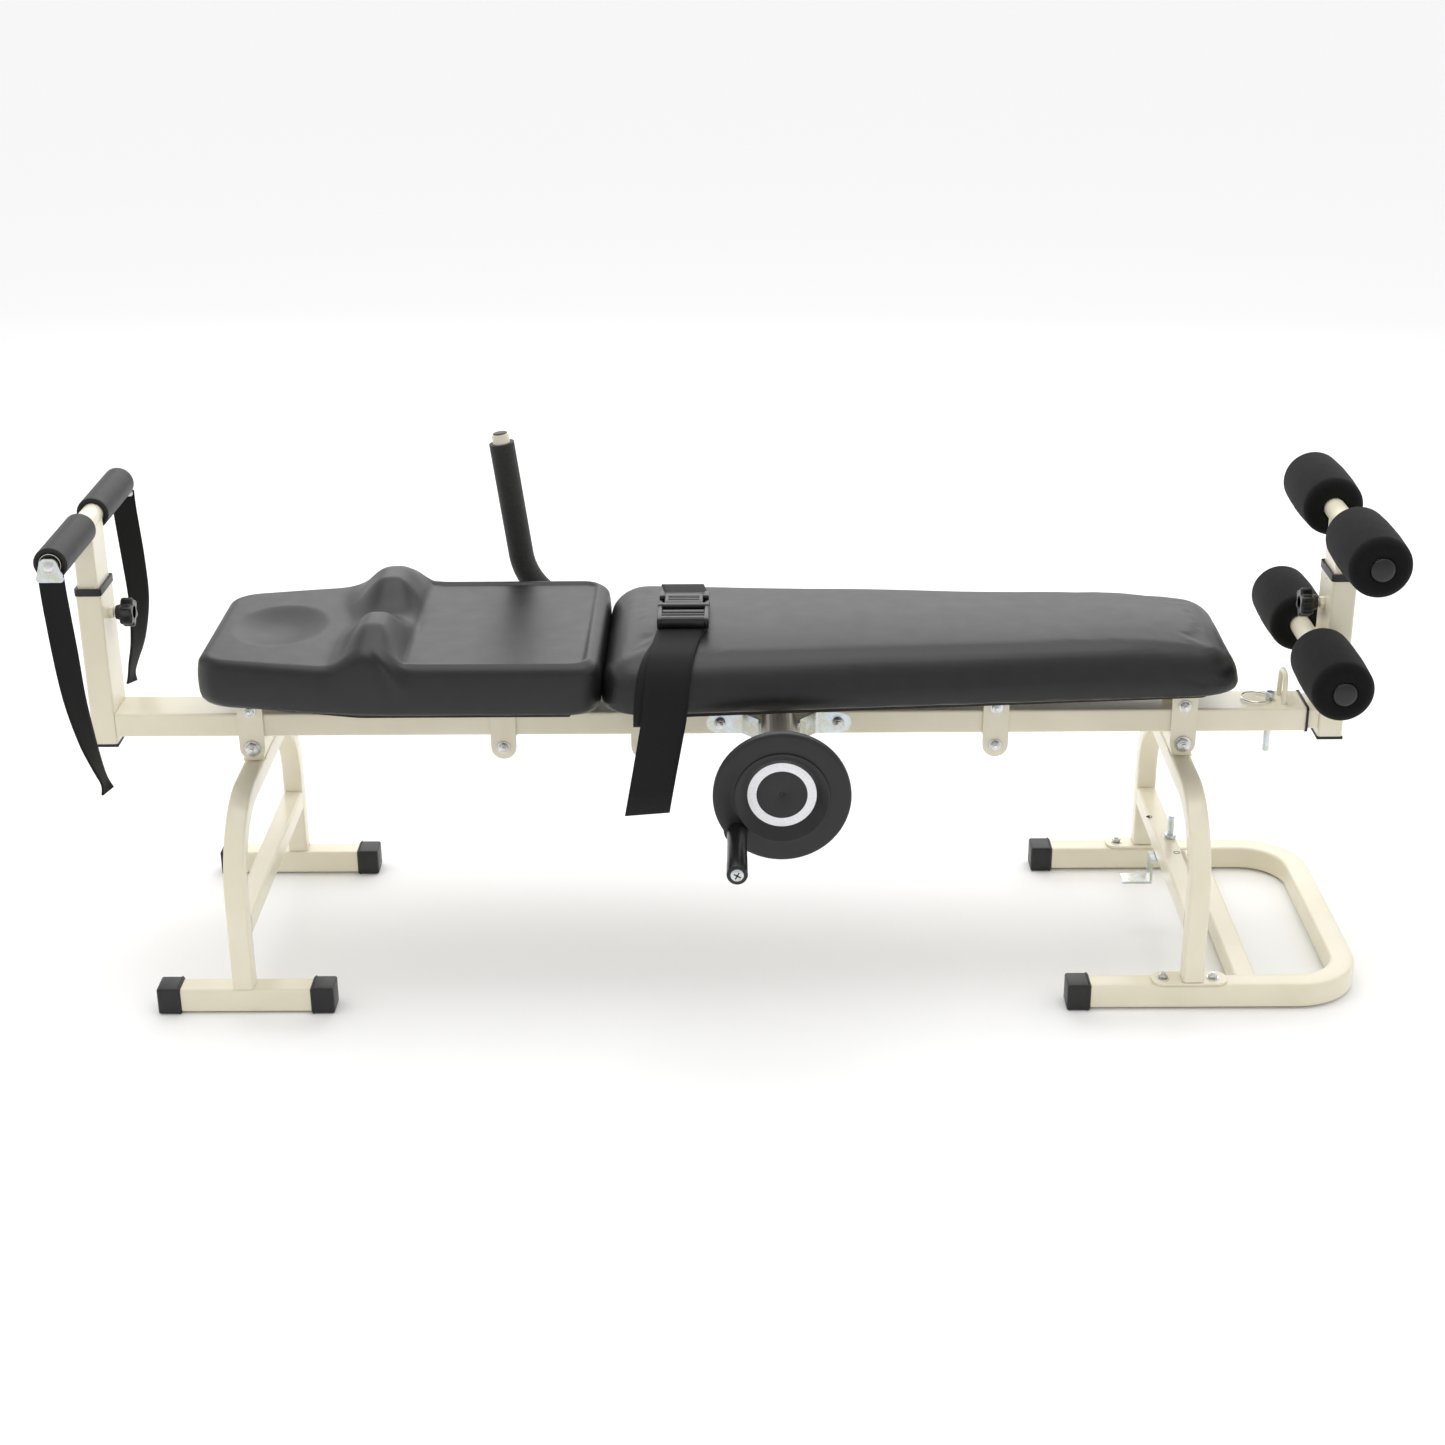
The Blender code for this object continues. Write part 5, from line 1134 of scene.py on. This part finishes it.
half = bodyHalf(x)
slant = lambda y: beltAt + 0.002 - 0.11 * max(0.0, y - 0.07) + 0.29 * min(0.0, y + 0.055)
leftward = Vector((1, 0, 0))
ringPath = [(onBed(slant(half), half - 0.02, underZ), leftward),
            (onBed(slant(half), half - 0.004, underZ + 0.001), leftward),
            (onBed(slant(half), half + 0.0035, underZ + 0.008), leftward),
            (onBed(slant(half), half + 0.0050, 0.368), leftward),
            (onBed(slant(half), half + 0.0052, 0.382), leftward),
            (onBed(slant(half), half + 0.0040, 0.394), leftward)]
ringPath += overPad(0.0024, half - 0.003, -half + 0.004, 44, slant)
low = slant(-half)
ringPath += [(onBed(low - 0.0010, -half - 0.0036, 0.393), leftward),
             (onBed(low - 0.0020, -half - 0.0050, 0.380), leftward),
             (onBed(low - 0.0030, -half - 0.0045, 0.366), leftward),
             (onBed(low - 0.0035, -half - 0.0010, underZ + 0.003), leftward),
             (onBed(low - 0.0040, -half + 0.008, underZ), leftward)]
belt, beltLength = ribbon("waist_belt_loop", ringPath, beltSpec["width"], beltSpec["thick"], "carriage",
                          ("waist_belt",))

tailSlant = lambda y: beltAt + 0.132 * min(0.0, y + 0.035)
tailPath = overPad(0.0052, -0.046, -half + 0.004, 24, tailSlant)
hang = ((0.0870, 0.0060, 0.393, 0.02), (0.0880, 0.0080, 0.378, 0.03), (0.0905, 0.0088, 0.360, 0.05),
        (0.0955, 0.0088, 0.332, 0.07), (0.1010, 0.0084, 0.302, 0.09), (0.1065, 0.0080, 0.272, 0.09),
        (0.1115, 0.0078, 0.244, 0.08))
tailPath += [(onBed(-along, -half - out, z), Vector((1, 0, lean))) for along, out, z, lean in hang]
tail, tailLength = ribbon("waist_belt_tail", tailPath, beltSpec["width"] + 0.001, beltSpec["thick"],
                          "carriage")

# side-release buckle: female shell, male fork and the two webbing bars
base = onBed(beltAt, -0.010, padTop(beltAt, 0.0) + 0.0036)
buckleSpec = {"wide": 0.062, "tall": 0.0150}
build = bmesh.new()
wide, tall = buckleSpec["wide"], buckleSpec["tall"]


def bucklePart(size, x, y, z, edge, turn=0.0, tilt=0.0):
    part = block(size, 0.0, 3)
    roundOver(part, part.edges[:], edge, 3)
    addPart(build, part, Matrix.Translation(base + Vector((x, y, z))) @ Matrix.Rotation(turn, 4,
            "Z") @ Matrix.Rotation(tilt, 4, "X"))


bucklePart((wide - 0.016, 0.034, tall), 0, 0.016, tall / 2, 0.0022)          # the socket's smooth roof
bucklePart((wide - 0.002, 0.007, tall - 0.002), 0, 0.0325, tall / 2 - 0.001, 0.0022)
bucklePart((wide, 0.010, tall), 0, -0.0035, tall / 2, 0.0026)
for sign in (-1, 1):
    # the fork's spring arms show in the side windows and swell past them
    bucklePart((0.0065, 0.020, 0.0085), sign * (wide / 2 - 0.0040), 0.0150, 0.0050, 0.0026, -sign * 0.16)
    bucklePart((0.0060, 0.022, 0.0105), sign * (wide / 2 - 0.0040), 0.0435, 0.0053, 0.0022)
    bucklePart((0.0062, 0.050, 0.0140), sign * (wide / 2 - 0.0034), -0.0295, 0.0070, 0.0026)
bucklePart((wide - 0.006, 0.0058, 0.0075), 0, 0.0500, 0.0052,
           0.0022)         # bar that the sewn end goes round
bucklePart((wide - 0.008, 0.0085, 0.0070), 0, -0.0195, 0.0080, 0.0018, 0, 0.10)   # ladder bars
bucklePart((wide - 0.008, 0.0050, 0.0050), 0, -0.0330, 0.0100, 0.0016)
bucklePart((wide - 0.005, 0.0125, 0.0150), 0, -0.0475, 0.0070, 0.0044)
for k in range(3):
    bucklePart((0.038, 0.0012, 0.0010), 0, 0.010 + 0.006 * k, tall + 0.0001, 0.0003)
finishPiece("buckle_moulding", build, glossPlastic, "carriage", 45, ("belt_buckle",))


floorMaterial, floorTree, floorShader, floorPlace = newMaterial("paleFloor", Roughness=0.9)
floorShader.inputs["Base Color"].default_value = hexColour("FDFDFD")
build = bmesh.new()
bmesh.ops.create_grid(build, x_segments=1, y_segments=1, size=30)
mesh = bpy.data.meshes.new("floor")
build.to_mesh(mesh)
build.free()
mesh.materials.append(floorMaterial)
floor = bpy.data.objects.new("floor", mesh)
floor.location.z = -0.0005
bpy.context.scene.collection.objects.link(floor)

studio = {"world": 1.04, "dim": 0.74, "key": 24, "back": 18, "fill": 0.4}
bpy.context.scene.view_settings.view_transform = "Standard"     # whites stay white, blacks stay black
world = bpy.data.worlds.new("studio")
bpy.context.scene.world = world
world.use_nodes = True
world.node_tree.nodes["Background"].inputs["Color"].default_value = hexColour("FFFFFF")
heading = addNode(world.node_tree,
                  "TexCoord").outputs["Generated"]      # the studio is darker on the wheel's side
toward = addNode(world.node_tree, "SeparateXYZ", links={"Vector": heading}).outputs["Y"]
ramp = addNode(world.node_tree, "MapRange", {"From Min": -0.55, "From Max": -0.05,
                                             "To Min": studio["dim"],
                                             "To Max": studio["world"]}, {"Value": toward})
world.node_tree.links.new(ramp.outputs["Result"], world.node_tree.nodes["Background"].inputs["Strength"])


def softbox(name, at, target, width, height, power):
    light = bpy.data.lights.new(name, "AREA")
    light.shape = "RECTANGLE"
    light.size, light.size_y = width, height
    light.energy = power
    holder = bpy.data.objects.new(name, light)
    holder.location = at
    holder.rotation_euler = (Vector(target) - Vector(at)).to_track_quat("-Z", "Y").to_euler()
    bpy.context.scene.collection.objects.link(holder)


middle = onBed(0, 0, 0.35)
softbox("overhead", onBed(0, 0.4, 2.6), middle, 2.6, 1.6, studio["key"])
softbox("back", onBed(0.2, 2.6, 1.7), middle, 3.2, 1.2, studio["back"])
softbox("front", onBed(-0.8, -3.2, 1.9), middle, 2.0, 1.4, studio["fill"])

view = {"back": 2.647, "height": 1.405, "down": 22.815, "aside": 0.51, "roll": -0.493, "lens": 58.01}
cameraData = bpy.data.cameras.new("camera")
cameraData.lens = view["lens"]
cameraData.sensor_width = 36
camera = bpy.data.objects.new("camera", cameraData)
camera.matrix_world = (Matrix.Translation(onBed(0, -view["back"], view["height"])) @
                       Matrix.Rotation(math.radians(view["aside"]), 4, "Z") @
                       Matrix.Rotation(math.radians(90 - view["down"]), 4, "X") @
                       Matrix.Rotation(math.radians(view["roll"]), 4, "Z"))
bpy.context.scene.collection.objects.link(camera)
bpy.context.scene.camera = camera
